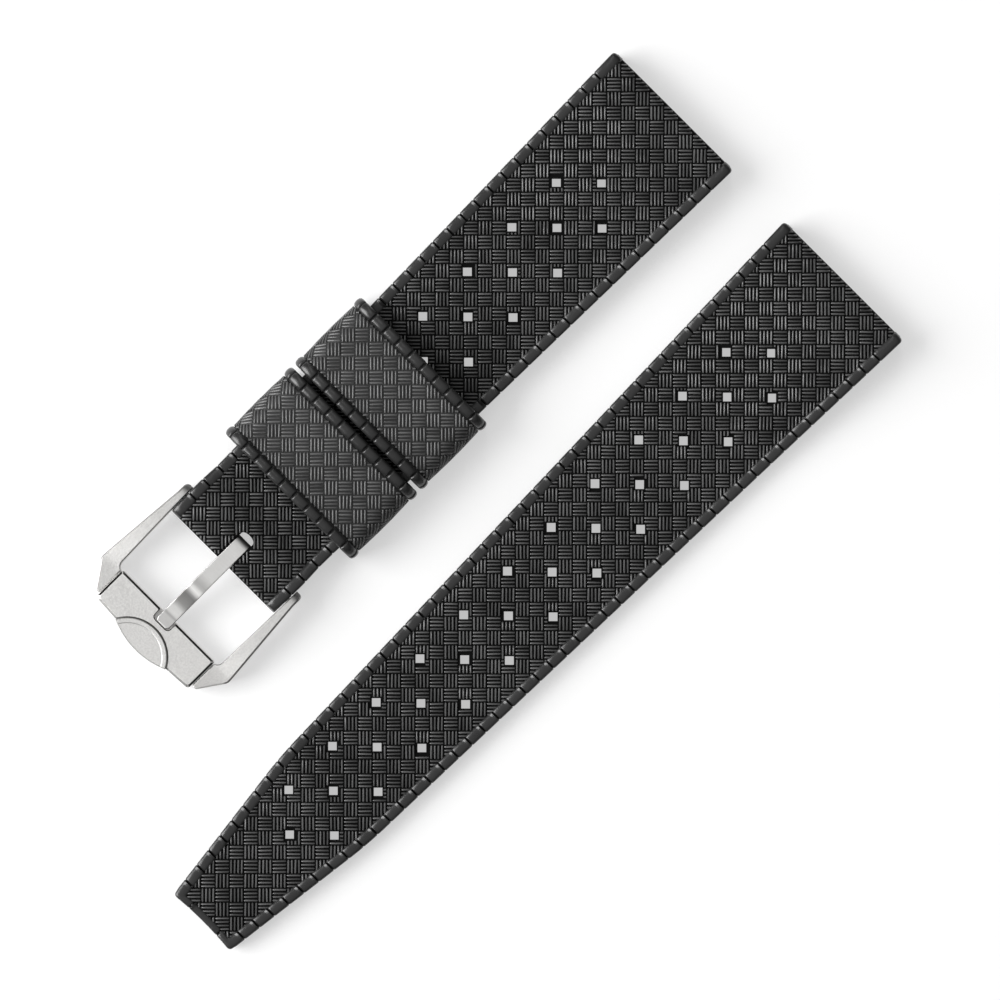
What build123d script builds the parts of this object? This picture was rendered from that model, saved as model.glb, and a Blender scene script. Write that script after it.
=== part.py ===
from build123d import *
import math
import os

# A two piece rubber dive strap, laid open on a table with its two halves side by side.
# X runs along both halves, from the lug ends towards the buckle and the tip.
# Y runs across them, the buckle half on the low side and the tail half on the high side.
# Z is up, and the table is at zero. Every size is in millimetres.

# Both rubber halves
LUG_WIDTH = 20.0  # across the beads at the lug ends, which fits between a watch's lugs
LUG_FLAT = 3.6  # length of the thick end that goes between the lugs
LUG_HEIGHT = 3.6  # from the table to the woven ground at the lug end
LUG_ROUNDING = 0.9  # radius along the edges of the lug end, seen from the side
CORNER_ROUNDING = 0.5  # radius of a half's corners, seen from above
TAPER_END = 24.0  # where the thick end has run out into the thin strap
LUG_BORE_RADIUS = 1.0  # for the watch's own spring bar
LUG_BORE_INSET = 2.1  # from the lug end to the axis of that bore
LUG_BORE_HEIGHT = 1.85  # of that axis over the table
PAIR_SPACING = 28.6  # between the centre lines of the two halves

# Ribbed bead along the edges
BEAD_WIDTH = 1.3
BEAD_HEIGHT = 0.35  # over the woven ground
NOTCH_WIDTH = 0.26  # between two ribs of the bead
NOTCH_FLOOR = 0.06  # what a notch leaves over the ground

# Ventilation holes, square, with their sides at half a right angle to the strap
HOLE_SIDE = 1.1
HOLE_ROW_OFFSET = 3.85  # of the outer rows from the centre row
HOLE_START = 12.15  # first hole of the centre row, from the lug end

# Buckle half
SHORT_LENGTH = 75.9
SHORT_END_WIDTH = 16.8
SHORT_GROUND = 1.9  # from its underside to the woven ground
SHORT_HOLE_PITCH = 7.5
SHORT_HOLE_MARGIN = 33.0  # at least, from the last hole to the end of this half
SHORT_NOTCH_START = 3.6
SHORT_NOTCH_PITCH = 2.31
END_SWELL = 8.4  # from the end of this half to where it begins to swell round the buckle's bar
END_SWELL_RUN = 4.2  # length of the slope up to the swollen end
END_HEIGHT = 2.7  # from the underside to the ground round the bar
END_ROUNDING = 0.8
BAR_INSET = 2.2  # from the end of this half to the axis of the buckle's bar
BAR_BORE_RADIUS = 0.8
SLOT_WIDTH = 2.5  # in the end of the half, for the tang
SLOT_DEPTH = 4.5  # from the end of the half to the slot's round bottom

# Tail half
TAIL_LENGTH = 108.1
TAIL_GROUND = 1.8
TIP_TAPER = 20.6  # from the tip back to the knee, where the tail begins to narrow faster
TAIL_KNEE_WIDTH = 14.8
TAIL_KNEE_ROUNDING = 55.0
TAIL_TIP_WIDTH = 9.56
TAIL_TIP_HOLLOW = 0.2  # how far the end edge curves in
TAIL_HOLE_PITCH = 7.38
TAIL_HOLE_MARGIN = 14.5  # at least, from the last hole to the tip
TAIL_NOTCH_START = 3.75
TAIL_NOTCH_PITCH = 2.22
TIP_BEAD_WIDTH = 1.0
TIP_NOTCH_OFFSET = 2.3  # of the two notches in the tip's bead from the centre line

# Keepers, two loops of the same rubber that slide on the buckle half
KEEPER_LENGTH = 11.2
KEEPER_WALL = 0.85
KEEPER_CORNER = 1.45  # outer radius of the loop's four corners
KEEPER_INNER_CORNER = 0.3
KEEPER_CROWN = 0.3  # how far the top rises in its middle
KEEPER_BARREL = 0.2  # how far the sides bulge half way along
KEEPER_SIDE_CLEARANCE = 0.15  # beside the strap at the wide end of the keeper's travel
KEEPER_FLOOR_CLEARANCE = 0.1  # under the strap
KEEPER_ROOM = 2.3  # over the strap, for the tail
KEEPER_BEAD_WIDTH = 1.35
KEEPER_BEAD_HEIGHT = 0.3
KEEPER_BEAD_CHAMFER = 0.2
KEEPER_NOTCH_PITCH = 2.15
KEEPER_NOTCH_COUNT = 9
KEEPER_END_DISTANCE = 11.02  # from the end of the half back to the keeper at its buckle side
KEEPER_GAP = 0.5  # between the two keepers
FIRST_KEEPER_TRAVEL = 9.0  # towards the lugs

# Spring bar of the buckle
BAR_RADIUS = 0.75
BAR_WALL = 0.17
BAR_CRIMP_LENGTH = 0.4
TIP_SHANK_RADIUS = 0.42
TIP_CLEARANCE = 0.05  # round the shank in the crimped end of the tube
TIP_HEAD_LENGTH = 0.75
TIP_HEAD_CLEARANCE = 0.05  # round the head in the tube
TIP_SEAT_CLEARANCE = 0.02  # between the head and the crimp
TIP_TRAVEL = 0.85
FLANGE_RADIUS = 0.65
FLANGE_LENGTH = 0.3
FLANGE_CLEARANCE = 0.1  # between the flange and the buckle's ear
NOSE_RADIUS = 0.4
NOSE_LENGTH = 0.9
NOSE_CHAMFER = 0.12
SPRING_WIRE = 0.18  # diameter of the wire
SPRING_TURNS = 16
SPRING_CLEARANCE = 0.07  # between the coils and the tube
SPRING_END_CLEARANCE = 0.05  # between the coils and the heads

# Buckle frame
EAR_RADIUS = 1.55
EAR_WIDTH = 0.95
EAR_CLEARANCE = 0.25  # between an ear and the end of the strap
EAR_HOLE_CLEARANCE = 0.05  # round the nose of the spring bar
ARM_THICKNESS = 2.3
FRAME_WIDTH = 21.4  # over the outer corners
FRAME_SHOULDER = 12.0  # from the bar's axis to the widest place
FRAME_LENGTH = 15.25  # from the bar's axis to the front ends of the arms
FRAME_NOSE_HALF_WIDTH = 8.45  # at the front ends of the arms
WINDOW_HALF_WIDTH = 8.45  # at the front of the window
WINDOW_CORNER = 0.9
WINDOW_LENGTH = 11.6  # from the bar's axis to the front of the window
FRAME_ROUNDING = 1.2  # of the outer corners, seen from above
FRAME_EDGE = 0.2  # chamfer along the plate's upper edges
ARM_CROWN = 0.25  # how far the arms arch between the ears and the plate
PLATE_HALF_LENGTH = 7.72
PLATE_OVERHANG = 0.25  # into the window
PLATE_TOP = 2.95  # over the table
PLATE_STEP = 0.35  # from the arms up to the plate
PLATE_DEPTH = 4.3  # from its edge in the window to its front edge, at its ends
PLATE_BULGE = 0.5  # how far the plate's front edge curves out in its middle
NOTCH_HALF_WIDTH = 1.3  # of the rest for the tang
NOTCH_LENGTH = 1.4
NOTCH_CORNER = 0.4
NOTCH_CLEARANCE = 0.08  # between the tang's tip and the floor of its rest
MEDALLION_RADIUS = 4.73
MEDALLION_PLACE = 18.28  # of its centre from the bar's axis
MEDALLION_REACH = 17.0  # of its cut front from the bar's axis
MEDALLION_FRONT_RADIUS = 10.4
MEDALLION_RISE = 0.15  # over the plate
MEDALLION_RIM = 0.3
MEDALLION_RECESS = 0.12  # of its field below its rim

# Tang
TANG_WIDTH = 1.95
TANG_THICKNESS = 0.7
TANG_OFFSET = 0.1  # of its centre line from the middle of the slot
TANG_BORE_CLEARANCE = 0.05  # round the tube
TANG_FLAT = 6.0  # from the bar's axis to the bend
TANG_BEND = 2.6  # length of the bend
TANG_REACH = 12.68  # from the bar's axis to the tip
TANG_TIP_ROUNDING = 0.3
TANG_WRAP = 300  # degrees that the curl goes round the bar

# One length that every cut runs past what it cuts, and one within which two places are the same
OVERRUN = 2.0
SAME_PLACE = 0.002

# Worked out from the sizes above
STRAP_LIFT = KEEPER_WALL + KEEPER_FLOOR_CLEARANCE
BAR_AXIS = SHORT_LENGTH - BAR_INSET
TAIL_KNEE = TAIL_LENGTH - TIP_TAPER
SECOND_KEEPER_PLACE = SHORT_LENGTH - KEEPER_END_DISTANCE - KEEPER_LENGTH
FIRST_KEEPER_PLACE = SECOND_KEEPER_PLACE - KEEPER_GAP - KEEPER_LENGTH
BAR_HEIGHT = STRAP_LIFT + END_HEIGHT / 2
TAIL_LINE = (FRAME_WIDTH / 2 + PAIR_SPACING - LUG_WIDTH / 2) / 2
SHORT_LINE = TAIL_LINE - PAIR_SPACING
MIDDLE = TAIL_LENGTH / 2


def straight(start, end):
    """A line in the side view, from pairs of place along the strap and height."""
    return Line((start[0], 0, start[1]), (end[0], 0, end[1]))


def eased(start, end):
    """Two arcs that leave start and reach end level, or one line where both are as high."""
    if start[1] == end[1]:
        return [straight(start, end)]
    middle = ((start[0] + end[0]) / 2, 0, (start[1] + end[1]) / 2)
    along = (end[0] - start[0], 0, 0)
    first = TangentArc((start[0], 0, start[1]), middle, tangent=along)
    second = TangentArc(middle, (end[0], 0, end[1]), tangent=first % 1)
    return [first, second]


def across(edges, half_width):
    """A solid as wide as the strap from a closed side view."""
    side = make_face(edges)
    return extrude(side, amount=half_width, dir=(0, 1, 0), both=True)


def upright(face, height):
    return extrude(face, amount=height, dir=(0, 0, 1))


def half_side(ground, rise, lift, length, swell=None):
    """Side view of one half: flat lug end, taper, thin strap and, on the buckle half, the swell."""
    top = LUG_HEIGHT + rise
    thin = lift + ground + rise
    edges = [straight((0, 0), (0, top)), straight((0, top), (LUG_FLAT, top))]
    edges += eased((LUG_FLAT, top), (TAPER_END, thin))
    reached = (TAPER_END, thin)
    if swell:
        begin, end, height = swell
        edges += [straight(reached, (begin, thin))]
        edges += eased((begin, thin), (end, lift + height + rise))
        reached = (end, lift + height + rise)
    edges += [straight(reached, (length, reached[1])), straight((length, reached[1]), (length, lift))]
    edges += [straight((length, lift), (TAPER_END, lift))]
    edges += eased((TAPER_END, lift), (LUG_FLAT, 0))
    edges += [straight((LUG_FLAT, 0), (0, 0))]
    return edges


def eased_height(place, start, end, low, high):
    """Height of the two arcs of eased() over a place along the strap."""
    if place <= start:
        return low
    if place >= end:
        return high
    run = end - start
    rise = high - low
    if rise == 0:
        return low
    radius = (run ** 2 + rise ** 2) / (4 * abs(rise))
    reach = min(place - start, end - place)
    drop = radius - math.sqrt(radius ** 2 - reach ** 2)
    if place - start < end - place:
        return low + math.copysign(drop, rise)
    return high - math.copysign(drop, rise)


def ground_height(place, ground, lift, swell=None):
    height = eased_height(place, LUG_FLAT, TAPER_END, LUG_HEIGHT, lift + ground)
    if swell and place > swell[0]:
        height = eased_height(place, swell[0], swell[1], lift + ground, lift + swell[2])
    return height


def square_holes(pitch, end, reach):
    """One row of square through holes on the centre line and two shorter rows beside it."""
    count = int((end - HOLE_START) / pitch) + 1
    rows = [(0, HOLE_START, count)]
    rows += [(side * HOLE_ROW_OFFSET, HOLE_START + pitch / 2, count - 1) for side in (-1, 1)]
    cutter = Box(HOLE_SIDE, HOLE_SIDE, 2 * reach)
    return [
        Pos(first + number * pitch, offset, 0) * Rot(0, 0, 45) * cutter
        for offset, first, total in rows
        for number in range(total)
    ]


def notch_cutters(start, pitch, end, height_at, half_width):
    """Cuts across both edge beads, one at each joint between two ribs."""
    count = int((end - start) / pitch)
    tall = BEAD_HEIGHT + OVERRUN
    base = (Align.CENTER, Align.CENTER, Align.MIN)
    cutters = []
    for number in range(count + 1):
        place = start + number * pitch
        cutter = Box(NOTCH_WIDTH, 2 * half_width, tall, align=base)
        cutters.append(Pos(place, 0, height_at(place) + NOTCH_FLOOR) * cutter)
    return cutters


def buckle_half_outline(inset=0.0, overrun=0.0):
    """Plan of the buckle half, narrowing in a straight line towards the buckle."""
    slope = (SHORT_END_WIDTH - LUG_WIDTH) / 2 / SHORT_LENGTH
    low, high = -overrun, SHORT_LENGTH + overrun
    wide = LUG_WIDTH / 2 - inset + slope * low
    narrow = LUG_WIDTH / 2 - inset + slope * high
    face = make_face(Polyline((low, -wide), (high, -narrow), (high, narrow), (low, wide), close=True))
    return fillet(face.vertices(), CORNER_ROUNDING)


def tail_half_outline(side_inset=0.0, tip_inset=0.0, overrun=0.0):
    """Plan of the tail half: a long taper, a knee, a steeper taper and a slightly hollow end."""
    slope = (TAIL_KNEE_WIDTH - LUG_WIDTH) / 2 / TAIL_KNEE
    steep = (TAIL_TIP_WIDTH - TAIL_KNEE_WIDTH) / 2 / (TAIL_LENGTH - TAIL_KNEE)
    start = LUG_WIDTH / 2 - side_inset - slope * overrun
    knee = TAIL_KNEE_WIDTH / 2 - side_inset
    end = TAIL_LENGTH - tip_inset
    tip = TAIL_TIP_WIDTH / 2 - side_inset - steep * tip_inset
    hollow = end - TAIL_TIP_HOLLOW
    edges = [
        Line((-overrun, -start), (TAIL_KNEE, -knee)),
        Line((TAIL_KNEE, -knee), (end, -tip)),
        ThreePointArc((end, -tip), (hollow, 0), (end, tip)),
        Line((end, tip), (TAIL_KNEE, knee)),
        Line((TAIL_KNEE, knee), (-overrun, start)),
        Line((-overrun, start), (-overrun, -start)),
    ]
    face = make_face(edges)
    knees = [v for v in face.vertices() if v.X == TAIL_KNEE]
    face = fillet(knees, TAIL_KNEE_ROUNDING)
    corners = face.vertices().sort_by(Axis.X)
    return fillet(corners[:2] + corners[-2:], CORNER_ROUNDING)


def edges_across(solid, places):
    """Edges that run across the strap at the given places along it."""
    lines = solid.edges().filter_by(Axis.Y)
    return [e for e in lines if any(abs(e.center().X - place) < SAME_PLACE for place in places)]


def upright_corners(solid, place):
    lines = solid.edges().filter_by(Axis.Z)
    return [e for e in lines if abs(e.center().X - place) < SAME_PLACE]


def make_buckle_strap():
    swell_start = SHORT_LENGTH - END_SWELL
    swell = (swell_start, swell_start + END_SWELL_RUN, END_HEIGHT)

    def height_at(place):
        return ground_height(place, SHORT_GROUND, STRAP_LIFT, swell)

    body = across(half_side(SHORT_GROUND, 0, STRAP_LIFT, SHORT_LENGTH, swell), LUG_WIDTH)
    body = fillet(edges_across(body, [0]), LUG_ROUNDING)
    body = fillet(edges_across(body, [SHORT_LENGTH]), END_ROUNDING)
    body &= upright(buckle_half_outline(), LUG_HEIGHT + OVERRUN)
    bead = across(half_side(SHORT_GROUND, BEAD_HEIGHT, STRAP_LIFT, SHORT_LENGTH, swell), LUG_WIDTH)
    bead = fillet(edges_across(bead, [0]), LUG_ROUNDING)
    bead = fillet(edges_across(bead, [SHORT_LENGTH]), END_ROUNDING)
    rails = buckle_half_outline() - buckle_half_outline(BEAD_WIDTH, OVERRUN)
    bead &= upright(rails, LUG_HEIGHT + OVERRUN)
    last = SHORT_LENGTH - SHORT_NOTCH_PITCH
    bead -= notch_cutters(SHORT_NOTCH_START, SHORT_NOTCH_PITCH, last, height_at, LUG_WIDTH)
    body += bead
    body -= square_holes(SHORT_HOLE_PITCH, SHORT_LENGTH - SHORT_HOLE_MARGIN, LUG_HEIGHT + OVERRUN)
    body -= bore_across(LUG_BORE_INSET, LUG_BORE_HEIGHT, LUG_BORE_RADIUS)
    body -= bore_across(BAR_AXIS, BAR_HEIGHT, BAR_BORE_RADIUS)
    body -= tang_slot()
    return body


def make_tail_strap():
    def height_at(place):
        return ground_height(place, TAIL_GROUND, 0)

    body = across(half_side(TAIL_GROUND, 0, 0, TAIL_LENGTH), LUG_WIDTH)
    body = fillet(edges_across(body, [0]), LUG_ROUNDING)
    body &= upright(tail_half_outline(), LUG_HEIGHT + OVERRUN)
    bead = across(half_side(TAIL_GROUND, BEAD_HEIGHT, 0, TAIL_LENGTH), LUG_WIDTH)
    bead = fillet(edges_across(bead, [0]), LUG_ROUNDING)
    rails = tail_half_outline() - tail_half_outline(BEAD_WIDTH, TIP_BEAD_WIDTH, OVERRUN)
    bead &= upright(rails, LUG_HEIGHT + OVERRUN)
    last = TAIL_LENGTH - TAIL_NOTCH_PITCH
    bead -= notch_cutters(TAIL_NOTCH_START, TAIL_NOTCH_PITCH, last, height_at, LUG_WIDTH)
    bead -= tip_notches(height_at(TAIL_LENGTH))
    body += bead
    body -= square_holes(TAIL_HOLE_PITCH, TAIL_LENGTH - TAIL_HOLE_MARGIN, LUG_HEIGHT + OVERRUN)
    body -= bore_across(LUG_BORE_INSET, LUG_BORE_HEIGHT, LUG_BORE_RADIUS)
    return body


def tip_notches(ground):
    base = (Align.CENTER, Align.CENTER, Align.MIN)
    cutter = Box(2 * (TIP_BEAD_WIDTH + TAIL_TIP_HOLLOW), NOTCH_WIDTH, BEAD_HEIGHT + OVERRUN, align=base)
    return [
        Pos(TAIL_LENGTH, side * TIP_NOTCH_OFFSET, ground + NOTCH_FLOOR) * cutter for side in (-1, 1)
    ]


def bore_across(place, height, radius):
    return Pos(place, 0, height) * Rot(90, 0, 0) * Cylinder(radius, LUG_WIDTH + OVERRUN)


def tang_slot():
    """A slot with a round bottom, open at the end of the buckle half."""
    tall = 2 * (LUG_HEIGHT + OVERRUN)
    bottom = SHORT_LENGTH - SLOT_DEPTH + SLOT_WIDTH / 2
    mouth = SHORT_LENGTH + OVERRUN
    straight_part = Box(mouth - bottom, SLOT_WIDTH, tall)
    return [
        Pos((mouth + bottom) / 2, 0, 0) * straight_part,
        Pos(bottom, 0, 0) * Cylinder(SLOT_WIDTH / 2, tall),
    ]


def loop_face(half_width, low, high, crown, corner):
    """A closed loop seen along the strap: flat below, upright sides and an arched top."""
    shoulder = high - crown
    edges = [
        Line((0, -half_width, low), (0, half_width, low)),
        Line((0, half_width, low), (0, half_width, shoulder)),
        ThreePointArc((0, half_width, shoulder), (0, 0, high), (0, -half_width, shoulder)),
        Line((0, -half_width, shoulder), (0, -half_width, low)),
    ]
    face = make_face(edges)
    return fillet(face.vertices(), corner)


def along(face, start, length):
    return Pos(start, 0, 0) * extrude(face, amount=length, dir=(1, 0, 0))


def make_keeper():
    """One keeper with its near edge at zero, round the strap's centre line."""
    widest = FIRST_KEEPER_PLACE - FIRST_KEEPER_TRAVEL
    slope = (LUG_WIDTH - SHORT_END_WIDTH) / 2 / SHORT_LENGTH
    inner_half = LUG_WIDTH / 2 - slope * widest + KEEPER_SIDE_CLEARANCE
    outer_half = inner_half + KEEPER_WALL
    strap_top = STRAP_LIFT + SHORT_GROUND + BEAD_HEIGHT
    ceiling = strap_top + KEEPER_ROOM
    top = ceiling + KEEPER_WALL
    barrel_half = outer_half + KEEPER_BARREL
    band = along(loop_face(barrel_half, 0, top, KEEPER_CROWN, KEEPER_CORNER), 0, KEEPER_LENGTH)
    plan = make_face(
        [
            ThreePointArc((0, outer_half), (KEEPER_LENGTH / 2, barrel_half), (KEEPER_LENGTH, outer_half)),
            Line((KEEPER_LENGTH, outer_half), (KEEPER_LENGTH, -outer_half)),
            ThreePointArc((KEEPER_LENGTH, -outer_half), (KEEPER_LENGTH / 2, -barrel_half), (0, -outer_half)),
            Line((0, -outer_half), (0, outer_half)),
        ]
    )
    band &= upright(plan, top + OVERRUN)
    rim_half = outer_half + KEEPER_BEAD_HEIGHT
    rim_face = loop_face(rim_half, 0, top + KEEPER_BEAD_HEIGHT, KEEPER_CROWN, KEEPER_CORNER)
    rims = [
        along(rim_face, start, KEEPER_BEAD_WIDTH) for start in (0, KEEPER_LENGTH - KEEPER_BEAD_WIDTH)
    ]
    rims = [chamfer(rim.edges() - rim.edges().filter_by(Axis.X), KEEPER_BEAD_CHAMFER) for rim in rims]
    keeper = band + rims
    keeper -= keeper_notches(top)
    opening = loop_face(inner_half, KEEPER_WALL, ceiling, KEEPER_CROWN, KEEPER_INNER_CORNER)
    keeper -= along(opening, -OVERRUN, KEEPER_LENGTH + 2 * OVERRUN)
    return keeper


def keeper_notches(top):
    """Cuts along the strap across both rims of a keeper, on its top."""
    base = (Align.MIN, Align.CENTER, Align.MIN)
    cutter = Box(KEEPER_LENGTH + 2 * OVERRUN, NOTCH_WIDTH, OVERRUN, align=base)
    first = -(KEEPER_NOTCH_COUNT - 1) / 2 * KEEPER_NOTCH_PITCH
    return [
        Pos(-OVERRUN, first + number * KEEPER_NOTCH_PITCH, top + NOTCH_FLOOR) * cutter
        for number in range(KEEPER_NOTCH_COUNT)
    ]


def bar_half_length():
    """From the middle of the buckle to the ears' inner faces."""
    slope = (LUG_WIDTH - SHORT_END_WIDTH) / 2 / SHORT_LENGTH
    strap_half = SHORT_END_WIDTH / 2 + slope * (BAR_INSET + EAR_RADIUS)
    return strap_half + EAR_CLEARANCE


def tube_half_length():
    return bar_half_length() - FLANGE_CLEARANCE - FLANGE_LENGTH - TIP_TRAVEL - TIP_CLEARANCE


def rod(radius, low, high):
    """A round piece along Y between two places, round the bar's axis."""
    return Pos(0, (low + high) / 2, 0) * Rot(90, 0, 0) * Cylinder(radius, high - low)


def make_bar_tube():
    """The spring bar's tube, with its two ends rolled in to hold the tips."""
    half = tube_half_length()
    bore = BAR_RADIUS - BAR_WALL
    tube = rod(BAR_RADIUS, -half, half)
    tube -= rod(TIP_SHANK_RADIUS + TIP_CLEARANCE, -half - OVERRUN, half + OVERRUN)
    tube -= rod(bore, -half + BAR_CRIMP_LENGTH, half - BAR_CRIMP_LENGTH)
    return tube


def tip_head_end():
    """From the middle of the bar to the inner end of a tip's head."""
    return tube_half_length() - BAR_CRIMP_LENGTH - TIP_SEAT_CLEARANCE - TIP_HEAD_LENGTH


def make_bar_tip():
    """The tip on the high side: head, shank, flange and nose in one turned piece."""
    face = bar_half_length()
    flange_end = face - FLANGE_CLEARANCE
    flange_start = flange_end - FLANGE_LENGTH
    head_start = tip_head_end()
    head_end = head_start + TIP_HEAD_LENGTH
    head_radius = BAR_RADIUS - BAR_WALL - TIP_HEAD_CLEARANCE
    nose = rod(NOSE_RADIUS, flange_end, flange_end + NOSE_LENGTH)
    nose = chamfer(nose.edges().sort_by(Axis.Y)[-1], NOSE_CHAMFER)
    tip = rod(head_radius, head_start, head_end)
    tip += rod(TIP_SHANK_RADIUS, head_end, flange_start)
    tip += rod(FLANGE_RADIUS, flange_start, flange_end)
    return tip + nose


def make_bar_spring():
    """The coil spring inside the tube, between the heads of the two tips."""
    half = tip_head_end() - SPRING_END_CLEARANCE - SPRING_WIRE / 2
    radius = BAR_RADIUS - BAR_WALL - SPRING_CLEARANCE - SPRING_WIRE / 2
    path = Helix(2 * half / SPRING_TURNS, 2 * half, radius)
    section = Plane(origin=path @ 0, z_dir=path % 0) * Circle(SPRING_WIRE / 2)
    coil = sweep(section, path, is_frenet=True)
    return Pos(0, -half, 0) * Rot(-90, 0, 0) * coil


def frame_side():
    """Side view of the buckle's arms: round ears, a slight arch and a level front."""
    front = FRAME_LENGTH
    arm_top = PLATE_TOP - PLATE_STEP - BAR_HEIGHT
    arm_low = arm_top - ARM_THICKNESS
    middle = WINDOW_LENGTH / 2
    crown_top = (EAR_RADIUS + arm_top) / 2 + ARM_CROWN
    crown_low = (arm_low - EAR_RADIUS) / 2 + ARM_CROWN
    return [
        ThreePointArc((0, 0, -EAR_RADIUS), (-EAR_RADIUS, 0, 0), (0, 0, EAR_RADIUS)),
        ThreePointArc((0, 0, EAR_RADIUS), (middle, 0, crown_top), (WINDOW_LENGTH, 0, arm_top)),
        Line((WINDOW_LENGTH, 0, arm_top), (front, 0, arm_top)),
        Line((front, 0, arm_top), (front, 0, arm_low)),
        Line((front, 0, arm_low), (WINDOW_LENGTH, 0, arm_low)),
        ThreePointArc((WINDOW_LENGTH, 0, arm_low), (middle, 0, crown_low), (0, 0, -EAR_RADIUS)),
    ]


def frame_plan():
    """Outline of the arms and front seen from above, with the window taken out."""
    inner = bar_half_length()
    ear = inner + EAR_WIDTH
    half = FRAME_WIDTH / 2
    back = -EAR_RADIUS - OVERRUN
    outer = Polyline(
        (back, -ear),
        (0, -ear),
        (FRAME_SHOULDER, -half),
        (FRAME_LENGTH, -FRAME_NOSE_HALF_WIDTH),
        (FRAME_LENGTH, FRAME_NOSE_HALF_WIDTH),
        (FRAME_SHOULDER, half),
        (0, ear),
        (back, ear),
        close=True,
    )
    outline = make_face(outer)
    corners = [v for v in outline.vertices() if v.X == FRAME_SHOULDER]
    outline = fillet(corners, FRAME_ROUNDING)
    window = make_face(
        Polyline(
            (back - OVERRUN, -inner),
            (0, -inner),
            (WINDOW_LENGTH, -WINDOW_HALF_WIDTH),
            (WINDOW_LENGTH, WINDOW_HALF_WIDTH),
            (0, inner),
            (back - OVERRUN, inner),
            close=True,
        )
    )
    corners = [v for v in window.vertices() if v.X == WINDOW_LENGTH]
    return outline - fillet(corners, WINDOW_CORNER)


def plate_plan():
    """Outline of the raised front plate, with the curve of its front edge."""
    start = WINDOW_LENGTH - PLATE_OVERHANG
    end = start + PLATE_DEPTH
    half = PLATE_HALF_LENGTH
    edges = [
        Line((start, half), (start, -half)),
        Line((start, -half), (end, -half)),
        ThreePointArc((end, -half), (end + PLATE_BULGE, 0), (end, half)),
        Line((end, half), (start, half)),
    ]
    return make_face(edges)


def medallion_plan(inset=0.0):
    """A disc whose front is cut along a flatter curve."""
    disc = Pos(MEDALLION_PLACE, 0) * Circle(MEDALLION_RADIUS - inset)
    front = Pos(MEDALLION_REACH - MEDALLION_FRONT_RADIUS, 0) * Circle(MEDALLION_FRONT_RADIUS - inset)
    return disc & front


def slab(face, low, high):
    return Pos(0, 0, low) * upright(face, high - low)


def make_buckle_frame():
    """The buckle frame, with the bar's axis at zero."""
    arms = across(frame_side(), FRAME_WIDTH)
    arms &= slab(frame_plan(), -FRAME_WIDTH, FRAME_WIDTH)
    arms = chamfer(arms.faces().sort_by(Axis.X)[-1].edges().filter_by(Axis.Y), FRAME_EDGE)
    floor, top = -BAR_HEIGHT, PLATE_TOP - BAR_HEIGHT
    plate = slab(plate_plan(), floor, top)
    plate = chamfer(plate.faces().sort_by(Axis.Z)[-1].edges(), FRAME_EDGE)
    disc = slab(medallion_plan(), floor, top + MEDALLION_RISE)
    frame = arms + plate + disc
    frame -= slab(medallion_plan(MEDALLION_RIM), top + MEDALLION_RISE - MEDALLION_RECESS, top + OVERRUN)
    frame -= tang_rest(top)
    hole = NOSE_RADIUS + EAR_HOLE_CLEARANCE
    frame -= rod(hole, -FRAME_WIDTH, FRAME_WIDTH)
    return frame


def tang_rest(top):
    """The recess in the plate that the tip of the tang lies in."""
    start = WINDOW_LENGTH - OVERRUN
    end = WINDOW_LENGTH - PLATE_OVERHANG + NOTCH_LENGTH
    recess = Pos((start + end) / 2, 0) * Rectangle(end - start, 2 * NOTCH_HALF_WIDTH)
    corners = recess.vertices().sort_by(Axis.X)[-2:]
    floor = tang_tip_top() - TANG_THICKNESS - NOTCH_CLEARANCE
    return slab(fillet(corners, NOTCH_CORNER), floor, top + OVERRUN)


def tang_tip_top():
    """Top of the tang's tip over the bar's axis, flush with the plate."""
    return PLATE_TOP - BAR_HEIGHT


def make_tang():
    """A strip curled round the bar, flat over the window and bent down to its rest."""
    inner = BAR_RADIUS + TANG_BORE_CLEARANCE
    outer = inner + TANG_THICKNESS
    low = tang_tip_top()
    bend_end = TANG_FLAT + TANG_BEND
    upper = [straight((0, outer), (TANG_FLAT, outer))]
    upper += eased((TANG_FLAT, outer), (bend_end, low))
    upper += [straight((bend_end, low), (TANG_REACH, low))]
    under = low - TANG_THICKNESS
    lower = [straight((TANG_REACH, under), (bend_end, under))]
    lower += eased((bend_end, under), (TANG_FLAT, inner))
    lower += [straight((TANG_FLAT, inner), (0, inner)), straight((0, inner), (0, outer))]
    strip = across(upper + [straight((TANG_REACH, low), (TANG_REACH, under))] + lower, TANG_WIDTH / 2)
    strip = fillet(upright_corners(strip, TANG_REACH), TANG_TIP_ROUNDING)
    curl = rod(outer, -TANG_WIDTH / 2, TANG_WIDTH / 2)
    curl -= rod(inner, -TANG_WIDTH, TANG_WIDTH)
    turn = math.radians(TANG_WRAP + 90)
    far = 2 * outer
    gap = make_face(
        Polyline(
            (0, 0, 0),
            (0, 0, far),
            (far, 0, far),
            (far * math.cos(turn), 0, far * math.sin(turn)),
            close=True,
        )
    )
    gap = extrude(gap, amount=TANG_WIDTH, dir=(0, 1, 0), both=True)
    return (curl - gap) + strip


def place(solid, start, line, height=0.0):
    return Pos(start - MIDDLE, line, height) * solid


def write(name, solid):
    solid.label = name
    export_step(solid, os.path.join("parts", name + ".step"))


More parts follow.
